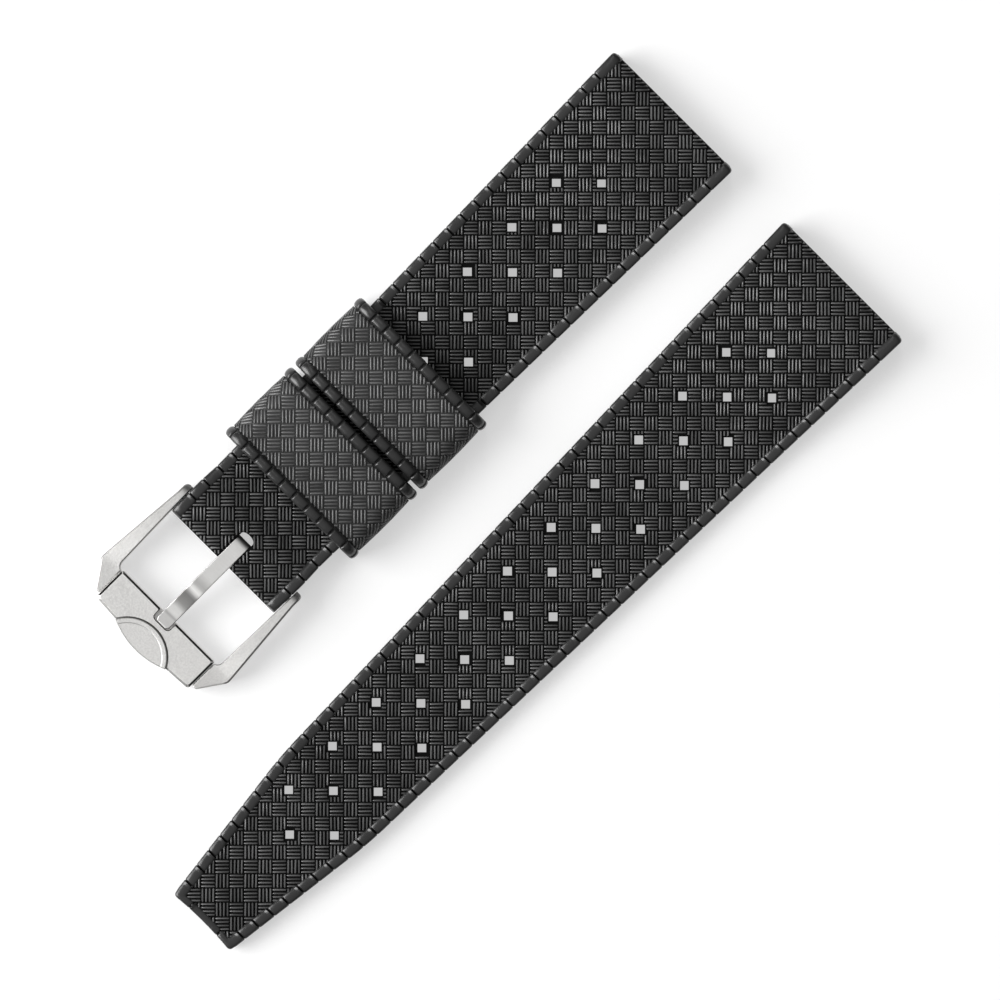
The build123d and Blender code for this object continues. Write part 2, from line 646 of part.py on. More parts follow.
def main():
    os.makedirs("parts", exist_ok=True)
    write("buckle_strap", place(make_buckle_strap(), 0, SHORT_LINE))
    write("tail_strap", place(make_tail_strap(), 0, TAIL_LINE))
    write("keeper_by_lugs", place(make_keeper(), FIRST_KEEPER_PLACE, SHORT_LINE))
    write("keeper_by_buckle", place(make_keeper(), SECOND_KEEPER_PLACE, SHORT_LINE))
    write("spring_bar_tube", place(make_bar_tube(), BAR_AXIS, SHORT_LINE, BAR_HEIGHT))
    write("spring_bar_spring", place(make_bar_spring(), BAR_AXIS, SHORT_LINE, BAR_HEIGHT))
    write("spring_bar_tip_left", place(make_bar_tip(), BAR_AXIS, SHORT_LINE, BAR_HEIGHT))
    mirrored = mirror(make_bar_tip(), about=Plane.XZ)
    write("spring_bar_tip_right", place(mirrored, BAR_AXIS, SHORT_LINE, BAR_HEIGHT))
    write("buckle_frame", place(make_buckle_frame(), BAR_AXIS, SHORT_LINE, BAR_HEIGHT))
    tang = place(make_tang(), BAR_AXIS, SHORT_LINE + TANG_OFFSET, BAR_HEIGHT)
    write("buckle_tang", tang)
    print("bar axis", BAR_AXIS - MIDDLE, SHORT_LINE, BAR_HEIGHT)


main()
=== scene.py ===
import bmesh
import bpy
import math
from mathutils import Matrix, Vector


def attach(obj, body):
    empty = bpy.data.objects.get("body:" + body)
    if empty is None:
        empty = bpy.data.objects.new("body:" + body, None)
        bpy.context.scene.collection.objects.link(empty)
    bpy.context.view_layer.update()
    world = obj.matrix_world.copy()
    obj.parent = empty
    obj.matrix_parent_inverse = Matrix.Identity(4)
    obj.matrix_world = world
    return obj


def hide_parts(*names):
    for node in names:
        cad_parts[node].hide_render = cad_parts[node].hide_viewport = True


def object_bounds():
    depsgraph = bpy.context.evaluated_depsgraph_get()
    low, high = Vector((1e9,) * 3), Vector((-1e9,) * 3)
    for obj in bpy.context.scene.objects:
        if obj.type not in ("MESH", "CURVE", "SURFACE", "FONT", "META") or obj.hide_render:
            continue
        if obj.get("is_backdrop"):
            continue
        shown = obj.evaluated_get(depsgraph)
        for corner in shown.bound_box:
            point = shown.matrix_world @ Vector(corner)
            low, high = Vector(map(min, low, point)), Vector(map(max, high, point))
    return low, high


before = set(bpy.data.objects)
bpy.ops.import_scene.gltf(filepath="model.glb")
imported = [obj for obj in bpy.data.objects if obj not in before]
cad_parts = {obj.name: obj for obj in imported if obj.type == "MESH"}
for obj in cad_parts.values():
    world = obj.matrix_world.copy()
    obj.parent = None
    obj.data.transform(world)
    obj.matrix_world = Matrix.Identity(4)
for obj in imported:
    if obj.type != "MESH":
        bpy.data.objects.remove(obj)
cad_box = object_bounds()

# Table, light and camera. The strap lies on a white table under two soft boxes, a large one at
# the picture's left and a strip at its top, and the camera looks straight down with a long lens.
scene = bpy.context.scene
scene.view_settings.view_transform = "Standard"

PICTURE_RIGHT = Vector((-1, 1, 0)).normalized()
PICTURE_UP = Vector((-1, -1, 0)).normalized()
UP = Vector((0, 0, 1))
PICTURE_CENTRE = Vector((-0.00668, 0.00417, 0.0025))
PICTURE_WIDTH = 0.11905
CAMERA_DISTANCE = 0.8
CAMERA_REACH = (0.01, 20.0)  # the nearest and the farthest that it sees
SENSOR_WIDTH = 36.0
TABLE_SIZE = 8.0
TABLE_DROP = 0.00001
TABLE_GLOW = 0.5
TABLE_GREY = 0.5
WHITE = (1.0, 1.0, 1.0, 1.0)
CEILING_LIGHT = 0.49
WALL_LIGHT = 0.03
CEILING_START = 0.3  # sine of the height at which the walls start to turn into the ceiling
CEILING_FADE = 0.6
LAMPS = {  # direction as the picture's right, its up and up, then distance, size and power
    "left_soft_box": ((-1.0, 0.03, 0.54), 1.2, (1.0, 1.0), 27.0),
    "top_strip_light": ((0.0, 0.9, 0.9), 0.8, (0.12, 0.9), 0.7),
}


def plug(socket, term):
    """Gives a socket a constant, or links it to the output that term is or holds."""
    if isinstance(term, Amount):
        term = term.socket
    if isinstance(term, bpy.types.NodeSocket):
        socket.id_data.links.new(term, socket)
    else:
        socket.default_value = term


def reckon(operation, *terms):
    """One Math node on amounts and plain numbers."""
    tree = next(term.socket.id_data for term in terms if isinstance(term, Amount))
    step = tree.nodes.new("ShaderNodeMath")
    step.operation = operation
    for socket, term in zip(step.inputs, terms):
        plug(socket, term)
    return Amount(step.outputs[0])


def math_step(operation, turned=False):
    """A method that adds one Math node. Turned puts its terms the other way round."""

    def method(*terms):
        return reckon(operation, *(terms[::-1] if turned else terms))

    return method


class Amount:
    """A number that flows between nodes. Sums on it add Math nodes."""

    def __init__(self, socket):
        self.socket = socket

    __add__, __radd__ = math_step("ADD"), math_step("ADD", turned=True)
    __sub__, __rsub__ = math_step("SUBTRACT"), math_step("SUBTRACT", turned=True)
    __mul__, __rmul__ = math_step("MULTIPLY"), math_step("MULTIPLY", turned=True)
    __truediv__, __pow__ = math_step("DIVIDE"), math_step("POWER")
    __mod__, __abs__ = math_step("FLOORED_MODULO"), math_step("ABSOLUTE")
    __gt__, __lt__ = math_step("GREATER_THAN"), math_step("LESS_THAN")
    rounded, sign = math_step("ROUND"), math_step("SIGN")
    at_most, at_least = math_step("MINIMUM"), math_step("MAXIMUM")


class Bench:
    """Adds nodes to one material, world or Geometry Nodes tree."""

    def __init__(self, tree):
        self.tree = tree

    def node(self, kind, settings=None, sockets=None):
        """A node of a kind, with its settings made first and then its sockets filled."""
        made = self.tree.nodes.new(kind)
        for name, value in (settings or {}).items():
            setattr(made, name, value)
        for name, term in (sockets or {}).items():
            plug(made.inputs[name], term)
        return made

    def parts(self, vector):
        """The three amounts of a vector."""
        split = self.node("ShaderNodeSeparateXYZ", sockets={0: vector})
        return [Amount(output) for output in split.outputs]

    def grey(self, level):
        channels = {name: level for name in ("Red", "Green", "Blue")}
        return self.node("ShaderNodeCombineColor", sockets=channels).outputs[0]

    def ray_is(self, *kinds):
        """One where a ray is of one of the kinds, and nought elsewhere."""
        path = self.node("ShaderNodeLightPath")
        return sum(Amount(path.outputs[kind]) for kind in kinds).at_most(1.0)

    def surface(self, looks):
        """Ends a material with one Principled shader."""
        skin = self.node("ShaderNodeBsdfPrincipled", sockets=looks)
        self.node("ShaderNodeOutputMaterial", sockets={"Surface": skin.outputs[0]})


def emptied(holder):
    """The bench of a material or world that has lost the nodes it came with."""
    holder.use_nodes = True
    holder.node_tree.nodes.clear()
    return Bench(holder.node_tree)


def linked(name, data):
    """A new object of the scene that holds data."""
    made = bpy.data.objects.new(name, data)
    scene.collection.objects.link(made)
    return made


for name, ((right, up, over), distance, size, power) in LAMPS.items():
    light = bpy.data.lights.new(name, "AREA")
    light.shape = "RECTANGLE"
    light.size, light.size_y = size
    light.energy = power
    lamp = linked(name, light)
    toward = right * PICTURE_RIGHT + up * PICTURE_UP + over * UP
    lamp.location = PICTURE_CENTRE + toward.normalized() * distance
    lamp.rotation_mode = "QUATERNION"
    lamp.rotation_quaternion = (-toward).to_track_quat("-Z", "Y")

world = bpy.data.worlds.new("studio")
scene.world = world
bench = emptied(world)
backdrop = bench.node("ShaderNodeBackground", sockets={"Color": WHITE})
heading = bench.node("ShaderNodeTexCoord").outputs["Generated"]
overhead = (bench.parts(heading)[2] - CEILING_START) / CEILING_FADE
level = overhead.at_least(0.0).at_most(1.0) * (CEILING_LIGHT - WALL_LIGHT) + WALL_LIGHT
room = bench.node("ShaderNodeBackground", sockets={"Color": bench.grey(level)})
straight = bench.ray_is("Is Camera Ray")
views = {0: straight, 1: room.outputs[0], 2: backdrop.outputs[0]}
mixed = bench.node("ShaderNodeMixShader", sockets=views)
bench.node("ShaderNodeOutputWorld", sockets={"Surface": mixed.outputs[0]})

table_finish = bpy.data.materials.new("white_table")
bench = emptied(table_finish)
seen = bench.ray_is("Is Camera Ray", "Is Glossy Ray", "Is Transmission Ray")
bench.surface(
    {
        "Base Color": (TABLE_GREY, TABLE_GREY, TABLE_GREY, 1.0),
        "Roughness": 0.9,
        "Specular IOR Level": 0.1,
        "Emission Color": bench.grey(seen * TABLE_GLOW),
        "Emission Strength": 1.0,
    }
)
table_mesh = bpy.data.meshes.new("table")
half = TABLE_SIZE / 2
table_corners = [(-half, -half), (half, -half), (half, half), (-half, half)]
table_mesh.from_pydata([(x, y, -TABLE_DROP) for x, y in table_corners], [], [(0, 1, 2, 3)])
table_mesh.materials.append(table_finish)
table = linked("table", table_mesh)
table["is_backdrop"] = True

lens = bpy.data.cameras.new("camera")
lens.sensor_width = SENSOR_WIDTH
lens.lens = SENSOR_WIDTH * CAMERA_DISTANCE / PICTURE_WIDTH
lens.clip_start, lens.clip_end = CAMERA_REACH
camera = linked("camera", lens)
turned = Matrix((PICTURE_RIGHT, PICTURE_UP, UP)).transposed()
camera.matrix_world = Matrix.Translation(PICTURE_CENTRE + CAMERA_DISTANCE * UP) @ turned.to_4x4()
scene.camera = camera


# Tail half. One piece of moulded black rubber, thick at the lug end and thin at the tip, with
# square air holes, a woven ribbing moulded on its face and a bead of short ribs round its edge.
MILLIMETRE = 0.001
MIDDLE = 54.05  # from the lug ends to the middle of the model
TAIL_LINE = 14.65
TAIL_LENGTH = 108.1
TAIL_THIN = 1.8
LUG_HALF_WIDTH = 10.0
LUG_FLAT = 3.6
LUG_HEIGHT = 3.6
LUG_ROUNDING = 0.9
LUG_BORE = (2.1, 1.85, 1.0)  # place, height and radius
TAPER_END = 24.0
KNEE_PLACE = 87.5
KNEE_HALF_WIDTH = 7.4
KNEE_ROUNDING = 55.0
TIP_HALF_WIDTH = 4.78
TIP_HOLLOW = 0.2
TIP_CORNER = 0.5
TIP_BEAD_WIDTH = 1.0
TIP_NOTCH_OFFSET = 2.3
FACE_CROWN = 0.25
CORNER_ROUNDING = 0.5
CORNER_BENDS = (0.33, 0.43, 0.53)  # places where a bead follows the rounded corner by a lug
BODY_ROUNDING = 0.2
BODY_ROUNDING_LIMIT = 2.2  # least ratio of a section's thickness to its rounding
BODY_SHORTFALL = 0.4  # of the tail's plain body, under the bead of the tip
BEAD_WIDTH = 1.42
BEAD_HEIGHT = 0.35
BEAD_INSET = 0.2  # of the plain body under the bead
BEAD_LIFT = 0.3  # of the bead's lower edge over the underside
BEAD_OVERLAP = 0.3  # of the bead over the weave
LUG_OVERHANG = 0.08  # of the bead past the lug end
NOTCH_HALF_WIDTH = 0.035
RIB_ROUNDING = 0.24
RIB_ROUND_PARTS = (0.0, 0.06, 0.25, 0.55, 1.0)  # of the rounding, where a rib's end is modelled
RIB_STEP = 0.8
CREST_PLACES = (0.04, 0.09, 0.17, 0.33, 0.42, 0.5)  # over a rib's raised first edge
HOLE_SIDE = 1.06
HOLE_START = 12.15
HOLE_ROW_OFFSET = 3.85
TAIL_HOLE_PITCH = 7.38
TAIL_HOLE_COUNT = 12
TAIL_NOTCH_START = 3.75
TAIL_NOTCH_PITCH = 2.22
TAIL_NOTCH_COUNT = 47
TAIL_CELL = 1.703
TAIL_CELL_START = (53.477, -0.58, 0.0)
RIDGES_IN_CELL = 4
RIDGE_SHORTEST = 0.22
RIDGE_WANDER = 0.022  # either way, of a ridge's direction
RIDGE_SPLIT = 0.3  # between the inner and the outer sections of a ridge, a unit long as a blank
RIDGE_LEVEL = 0.42  # half the length of its level part
RIDGE_TAPER = 0.08  # and of each end past that
RIDGE_DRAWN_IN = 0.4  # by how much the ends are narrower and lower
RIDGE_SUNK = 0.1  # depth of its underside in the ground
EIGHT_SIDED_FIT = 1.08  # brings eight sides round a circle out to its full width
RIDGE_TOUCH = 0.3  # of a ridge's width, which counts as meeting a hole
SLOT_TOUCH = 0.001  # least length of a ridge's line inside the round of the slot
RAY_START, RAY_LENGTH = 20.0, 40.0  # from above every half to below it
BEAD_PINCH = 0.16  # of a bead's width at a notch
BEAD_POWERS = (0.85, 0.3)  # how round a bead's section is above and below
TONE_SEED = 11
WANDER_SEED = 5
END_MARGIN, TIP_MARGIN = 0.15, 0.6  # of the weave before an end, and before the tip
SLANT = math.sqrt(0.5)
OFF_PIECE = 200.0  # the place of a slot or of holes that a piece doesn't have
FAR = 9999.0  # past anything
CUT_LOW, CUT_HIGH = -1.0, 6.0  # heights below and above every half
CUT_REACH = 12.0  # past either side of the strap
GRAIN_HEIGHT = 0.00002  # of the relief of every finish
RUBBER_GRAIN = 9000.0  # of the moulding's fine grain, per metre
RUBBER_CLOUD = 160.0  # of the patches of bloom
RUBBER_RELIEF = 0.35
RUBBER_ROUGHNESS_PARTS = (0.12, 0.1)  # of the cloud and of the grain
BLOOM = 2.6  # how many times lighter the rubber is under its bloom
BLOOM_SPAN, BLOOM_START = 1.6, 0.3  # of the cloud that shows as bloom
RUBBER_SMOOTH = 50


def noise(bench, spot, scale, detail, roughness):
    """A soft random pattern, from nought to one."""
    sockets = {"Vector": spot, "Scale": scale, "Detail": detail, "Roughness": roughness}
    return Amount(bench.node("ShaderNodeTexNoise", sockets=sockets).outputs[0])


def painted(bench, name):
    """A tone that the mesh carries under a name."""
    return Amount(bench.node("ShaderNodeAttribute", {"attribute_name": name}).outputs["Fac"])


def blend(bench, part, first, second):
    """A colour between two others."""
    sockets = {0: part, 6: first, 7: second}
    return bench.node("ShaderNodeMix", {"data_type": "RGBA"}, sockets).outputs[2]


def relief(bench, strength, height):
    bump = {"Strength": strength, "Distance": GRAIN_HEIGHT, "Height": height}
    return bench.node("ShaderNodeBump", sockets=bump).outputs[0]


def rubber(name, shade, roughness, shine, dust, spread=0.0):
    """Matt black moulded rubber, with a fine grain and a faint bloom in cloudy patches.

    Spread is how much more of it some ridges of the weave carry than others."""
    finish = bpy.data.materials.new(name)
    bench = emptied(finish)
    spot = bench.node("ShaderNodeTexCoord").outputs["Object"]
    grain = noise(bench, spot, RUBBER_GRAIN, 2.0, 0.6)
    cloud = noise(bench, spot, RUBBER_CLOUD, 3.0, 0.55)
    bloom = (cloud * BLOOM_SPAN - BLOOM_START) + (painted(bench, "tone") - 0.5) * spread
    part = bloom.at_least(0.0).at_most(1.0) * dust
    clean, dusty = [(level, level, level, 1.0) for level in (shade, shade * BLOOM)]
    by_cloud, by_grain = RUBBER_ROUGHNESS_PARTS
    bench.surface(
        {
            "Base Color": blend(bench, part, clean, dusty),
            "Roughness": (cloud - 0.5) * by_cloud + (grain - 0.5) * by_grain + roughness,
            "Specular IOR Level": shine,
            "Normal": relief(bench, RUBBER_RELIEF, grain),
        }
    )
    return finish


def clipped(value):
    return min(max(value, 0.0), 1.0)


def angles(first, end, step):
    """Angles in radians, counted in degrees and without the end."""
    return [math.radians(a) for a in range(first, end, step)]


def thickness_curve(place, start, end, low, high):
    """A height that leaves low and reaches high level, as two even arcs do."""
    part = clipped((place - start) / (end - start))
    return low + (high - low) * part * part * (3 - 2 * part)


def end_drop(place, radius):
    """How far a rounded end falls below the face at a place near it."""
    left = min(max(radius - place, 0.0), radius)
    return radius - math.sqrt(radius * radius - left * left)


def tail_half_width(place):
    """From the centre line to the edge, with the knee rounded."""
    slope = (KNEE_HALF_WIDTH - LUG_HALF_WIDTH) / KNEE_PLACE
    steep = (TIP_HALF_WIDTH - KNEE_HALF_WIDTH) / (TAIL_LENGTH - KNEE_PLACE)
    reach = KNEE_ROUNDING * math.tan((slope - steep) / 2)
    if place > KNEE_PLACE + reach:
        return KNEE_HALF_WIDTH + steep * (place - KNEE_PLACE)
    bend = max(place - KNEE_PLACE + reach, 0.0)
    return KNEE_HALF_WIDTH + slope * (place - KNEE_PLACE) - bend * bend / (2 * KNEE_ROUNDING)


def tail_top(place):
    height = thickness_curve(place, LUG_FLAT, TAPER_END, LUG_HEIGHT, TAIL_THIN)
    return height - end_drop(place, LUG_ROUNDING)


def tail_bottom(place):
    return end_drop(place, LUG_ROUNDING)


TAIL_SHAPE = (tail_half_width, tail_top, tail_bottom)


def outward(mesh):
    """The same mesh with every shell's faces pointing out."""
    shape = bmesh.new()
    shape.from_mesh(mesh)
    bmesh.ops.recalc_face_normals(shape, faces=shape.faces)
    shape.to_mesh(mesh)
    shape.free()
    return mesh


def skinned(rings, closed=False):
    """A mesh through rings of points, with flat ends unless the rings meet again."""
    count = len(rings[0])
    points = [point for ring in rings for point in ring]
    faces = []
    for row in range(len(rings) if closed else len(rings) - 1):
        here, there = row * count, (row + 1) % len(rings) * count
        for k in range(count):
            step = (k + 1) % count
            faces.append((here + k, here + step, there + step, there + k))
    if not closed:
        faces.append(tuple(range(count)))
        faces.append(tuple(reversed(range(len(points) - count, len(points)))))
    mesh = bpy.data.meshes.new("skin")
    mesh.from_pydata(points, [], faces)
    return outward(mesh)


def stacked(layers):
    """An upright solid through plan outlines, each with its height."""
    return skinned([[(x, y, height) for x, y in outline] for outline, height in layers])


def cutter(outline):
    """A solid over a plan outline, from below to above a half."""
    return stacked([(outline, CUT_LOW), (outline, CUT_HIGH)])


def cross_rod(place, height, radius):
    """A round solid across a half, for a bore."""
    around = angles(0, 360, 12)
    circle = [(place + radius * math.cos(a), height + radius * math.sin(a)) for a in around]
    return skinned([[(x, y, z) for x, z in circle] for y in (-CUT_REACH, CUT_REACH)])


def hole_cutters(pitch, count):
    """The cutters of a centre row of holes, turned on their corners, and of the rows beside it."""
    rows = [(0.0, HOLE_START, count)]
    rows += [(side * HOLE_ROW_OFFSET, HOLE_START + pitch / 2, count - 1) for side in (-1, 1)]
    reach = HOLE_SIDE / math.sqrt(2)
    corners = [(reach, 0.0), (0.0, reach), (-reach, 0.0), (0.0, -reach)]
    return [
        cutter([(first + number * pitch + x, offset + y) for x, y in corners])
        for offset, first, total in rows
        for number in range(total)
    ]


def body_ring(place, half_width, low, high):
    """A section of a half's plain body: its edges rounded off and its face a little domed."""
    soft = min(BODY_ROUNDING, (high - low) / BODY_ROUNDING_LIMIT)
    crown = FACE_CROWN * (half_width / LUG_HALF_WIDTH) ** 2
    flat = half_width - soft
    points = []
    corners = ((1, high - soft), (-1, high - soft), (-1, low + soft), (1, low + soft))
    for quarter, (side, level) in enumerate(corners):
        for a in angles(90 * quarter, 90 * quarter + 91, 30):
            points.append((place, side * flat + soft * math.cos(a), level + soft * math.sin(a)))
        if quarter == 0:
            domed = [1 - k / 6 for k in range(1, 12)]
            points += [(place, flat * y, high + crown * (1 - y * y)) for y in domed]
    return points


def plain_body(length, dense, shape):
    """The plain body of a half, its sections close together where its ends are rounded."""
    half_width, top, bottom = shape
    near = [LUG_ROUNDING * (1 - math.cos(a)) for a in angles(0, 91, 15)]
    level = length - 2 * LUG_ROUNDING
    steps = int(level / dense)
    middle = [LUG_ROUNDING + level * k / steps for k in range(1, steps)]
    rings = []
    for place in near + middle + [length - place for place in reversed(near)]:
        half = half_width(place) - BEAD_INSET - end_drop(place, CORNER_ROUNDING)
        rings.append(body_ring(place, half, bottom(place), top(place)))
    return skinned(rings)


def evaluated(piece):
    """The plain mesh that an object's modifiers make."""
    bpy.context.view_layer.update()
    made = piece.evaluated_get(bpy.context.evaluated_depsgraph_get())
    return bpy.data.meshes.new_from_object(made)


def from_nodes(start, tree, amounts):
    """The plain mesh that a Geometry Nodes tree makes out of a starting mesh."""
    holder = linked("holder", start)
    modifier = holder.modifiers.new(tree.name, "NODES")
    modifier.node_group = tree
    for item in tree.interface.items_tree:
        if item.name in amounts and item.in_out == "INPUT":
            modifier[item.identifier] = amounts[item.name]
    made = evaluated(holder)
    bpy.data.objects.remove(holder)
    return outward(made)


def cut_away(mesh, cutters):
    """A mesh less the solids of the cutters."""
    pair = [linked("kept", mesh), linked("cutter", cutters)]
    modifier = pair[0].modifiers.new("cut", "BOOLEAN")
    modifier.operation = "DIFFERENCE"
    modifier.solver = "EXACT"
    modifier.object = pair[1]
    made = evaluated(pair[0])
    for piece in pair:
        bpy.data.objects.remove(piece)
    return made


def joined(meshes):
    """Several meshes as one."""
    shape = bmesh.new()
    for mesh in meshes:
        shape.from_mesh(mesh)
    whole = bpy.data.meshes.new("joined")
    shape.to_mesh(whole)
    shape.free()
    return whole


def settled(name, mesh, start, line, finish, body, node, smooth):
    """Puts a mesh made in millimetres in its place as a finished piece on its body."""
    mesh.transform(Matrix.Translation((start - MIDDLE, line, 0)))
    mesh.transform(Matrix.Scale(MILLIMETRE, 4))
    mesh.name = name
    mesh.materials.clear()
    mesh.materials.append(finish)
    for face in mesh.polygons:
        face.material_index = 0
    mesh.shade_smooth()
    mesh.set_sharp_from_angle(angle=math.radians(smooth))
    piece = linked(name, mesh)
    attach(piece, body)
    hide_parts(node)


def moulded(name, parts, start, line, body, node):
    """Settles the meshes that make up one moulded piece of rubber."""
    for part, mesh, finish in parts:
        whole = f"{name}_{part}"
        settled(whole, mesh, start, line, finish, body, node, RUBBER_SMOOTH)


class Loom(Bench):
    """A Geometry Nodes tree with its inputs, and the steps that the trees here share."""

    def __init__(self, name, sizes, others=()):
        super().__init__(bpy.data.node_groups.new(name, "GeometryNodeTree"))
        kinds = [("Geometry", "Geometry"), ("Material", "Material"), *others]
        kinds += [(size, "Float") for size in sizes]
        new_socket = self.tree.interface.new_socket
        new_socket(name="Geometry", in_out="OUTPUT", socket_type="NodeSocketGeometry")
        for label, kind in kinds:
            new_socket(name=label, in_out="INPUT", socket_type="NodeSocket" + kind)
        self.inputs = self.node("NodeGroupInput").outputs

    def sizes(self, *names):
        """Some of the tree's inputs as amounts."""
        return [Amount(self.inputs[name]) for name in names]

    def step(self, kind, settings=None, sockets=None):
        """A node's first output."""
        return self.node(kind, settings, sockets).outputs[0]

    def vector(self, x, y, z):
        return self.step("ShaderNodeCombineXYZ", sockets={0: x, 1: y, 2: z})

    def scaled(self, vector, factor):
        sockets = {0: vector, "Scale": factor}
        return self.step("ShaderNodeVectorMath", {"operation": "SCALE"}, sockets)

    def added(self, first, second):
        return self.step("ShaderNodeVectorMath", {"operation": "ADD"}, {0: first, 1: second})

    def spot(self):
        return self.step("GeometryNodeInputPosition")

    def moved(self, geometry, position):
        sockets = {"Geometry": geometry, "Position": position}
        return self.step("GeometryNodeSetPosition", sockets=sockets)

    def stored(self, geometry, name, value, kind="FLOAT"):
        """Geometry whose points carry a value under a name."""
        settings = {"data_type": kind, "domain": "POINT"}
        sockets = {"Geometry": geometry, "Name": name, "Value": value}
        return self.step("GeometryNodeStoreNamedAttribute", settings, sockets)

    def kept(self, name, kind="FLOAT"):
        """What the points carry under a name."""
        return self.step("GeometryNodeInputNamedAttribute", {"data_type": kind}, {"Name": name})

    def random(self, low, high, seed):
        draw = {"Min": low, "Max": high, "Seed": seed}
        return Amount(self.node("FunctionNodeRandomValue", {"data_type": "FLOAT"}, draw).outputs[1])

    def finished(self, geometry):
        """The tree, ended by making instances real and setting the material."""
        real = self.step("GeometryNodeRealizeInstances", sockets={0: geometry})
        coating = {"Geometry": real, "Material": self.inputs["Material"]}
        coated = self.step("GeometryNodeSetMaterial", sockets=coating)
        self.node("NodeGroupOutput", sockets={0: coated})
        return self.tree


def ridge_bar(loom, width, height):
    """One ridge along X, a unit long: eight sided, level on top and drawn in at its ends."""
    blank = loom.step(
        "GeometryNodeMeshCylinder",
        {"fill_type": "NGON"},
        {"Vertices": 8, "Side Segments": 3, "Radius": 1.0, "Depth": 1.0},
    )
    for turn in ((0.0, 0.0, math.radians(22.5)), (0.0, math.radians(90), 0.0)):
        blank = loom.step("GeometryNodeTransform", sockets={"Geometry": blank, "Rotation": turn})
    x, y, z = loom.parts(loom.spot())
    at_end = abs(x) > RIDGE_SPLIT
    out = x.sign() * (at_end * RIDGE_TAPER + RIDGE_LEVEL)
    full = 1 - at_end * RIDGE_DRAWN_IN
    above = z > 0.0
    rise = z * height * full * above * EIGHT_SIDED_FIT + z * (1 - above) * RIDGE_SUNK
    return loom.moved(blank, loom.vector(out, y * width * full * (EIGHT_SIDED_FIT / 2), rise))


def hole_marks(loom):
    """A point at the middle of every air hole."""
    pitch, start, count = loom.sizes("Hole Pitch", "Hole Start", "Hole Count")
    (row_offset,) = loom.sizes("Hole Row Offset")
    marks = loom.node("GeometryNodeJoinGeometry")
    for side in (0, -1, 1):
        first = start + pitch * 0.5 if side else start
        row = {
            "Count": count - abs(side),
            "Start Location": loom.vector(first, row_offset * side, 0.0),
            "Offset": loom.vector(pitch, 0.0, 0.0),
        }
        plug(marks.inputs[0], loom.step("GeometryNodeMeshLine", sockets=row))
    return marks.outputs[0]


RIDGE_SIZES = (
    "Cell", "Patch Size", "Ridge Width", "Ridge Height", "Cell Gap", "Low End", "High End",
    "Near Half Width", "Far Half Width", "Knee Place", "Knee Half Width", "Hole Start",
    "Hole Pitch", "Hole Row Offset", "Hole Margin", "Slot Half Width", "Slot Bottom", "Slot Offset",
)
RIDGE_INPUTS = (("Cell Start", "Vector"), ("Hole Count", "Int"))


def stopped(low, high, ahead, reach, met, beyond):
    """A ridge's low and high ends, one drawn back to a reach before what it met ahead."""
    high = high.at_most(ahead - reach + (1 - met * beyond) * FAR)
    low = low.at_least(ahead + reach - (1 - met * (1 - beyond)) * FAR)
    return low, high


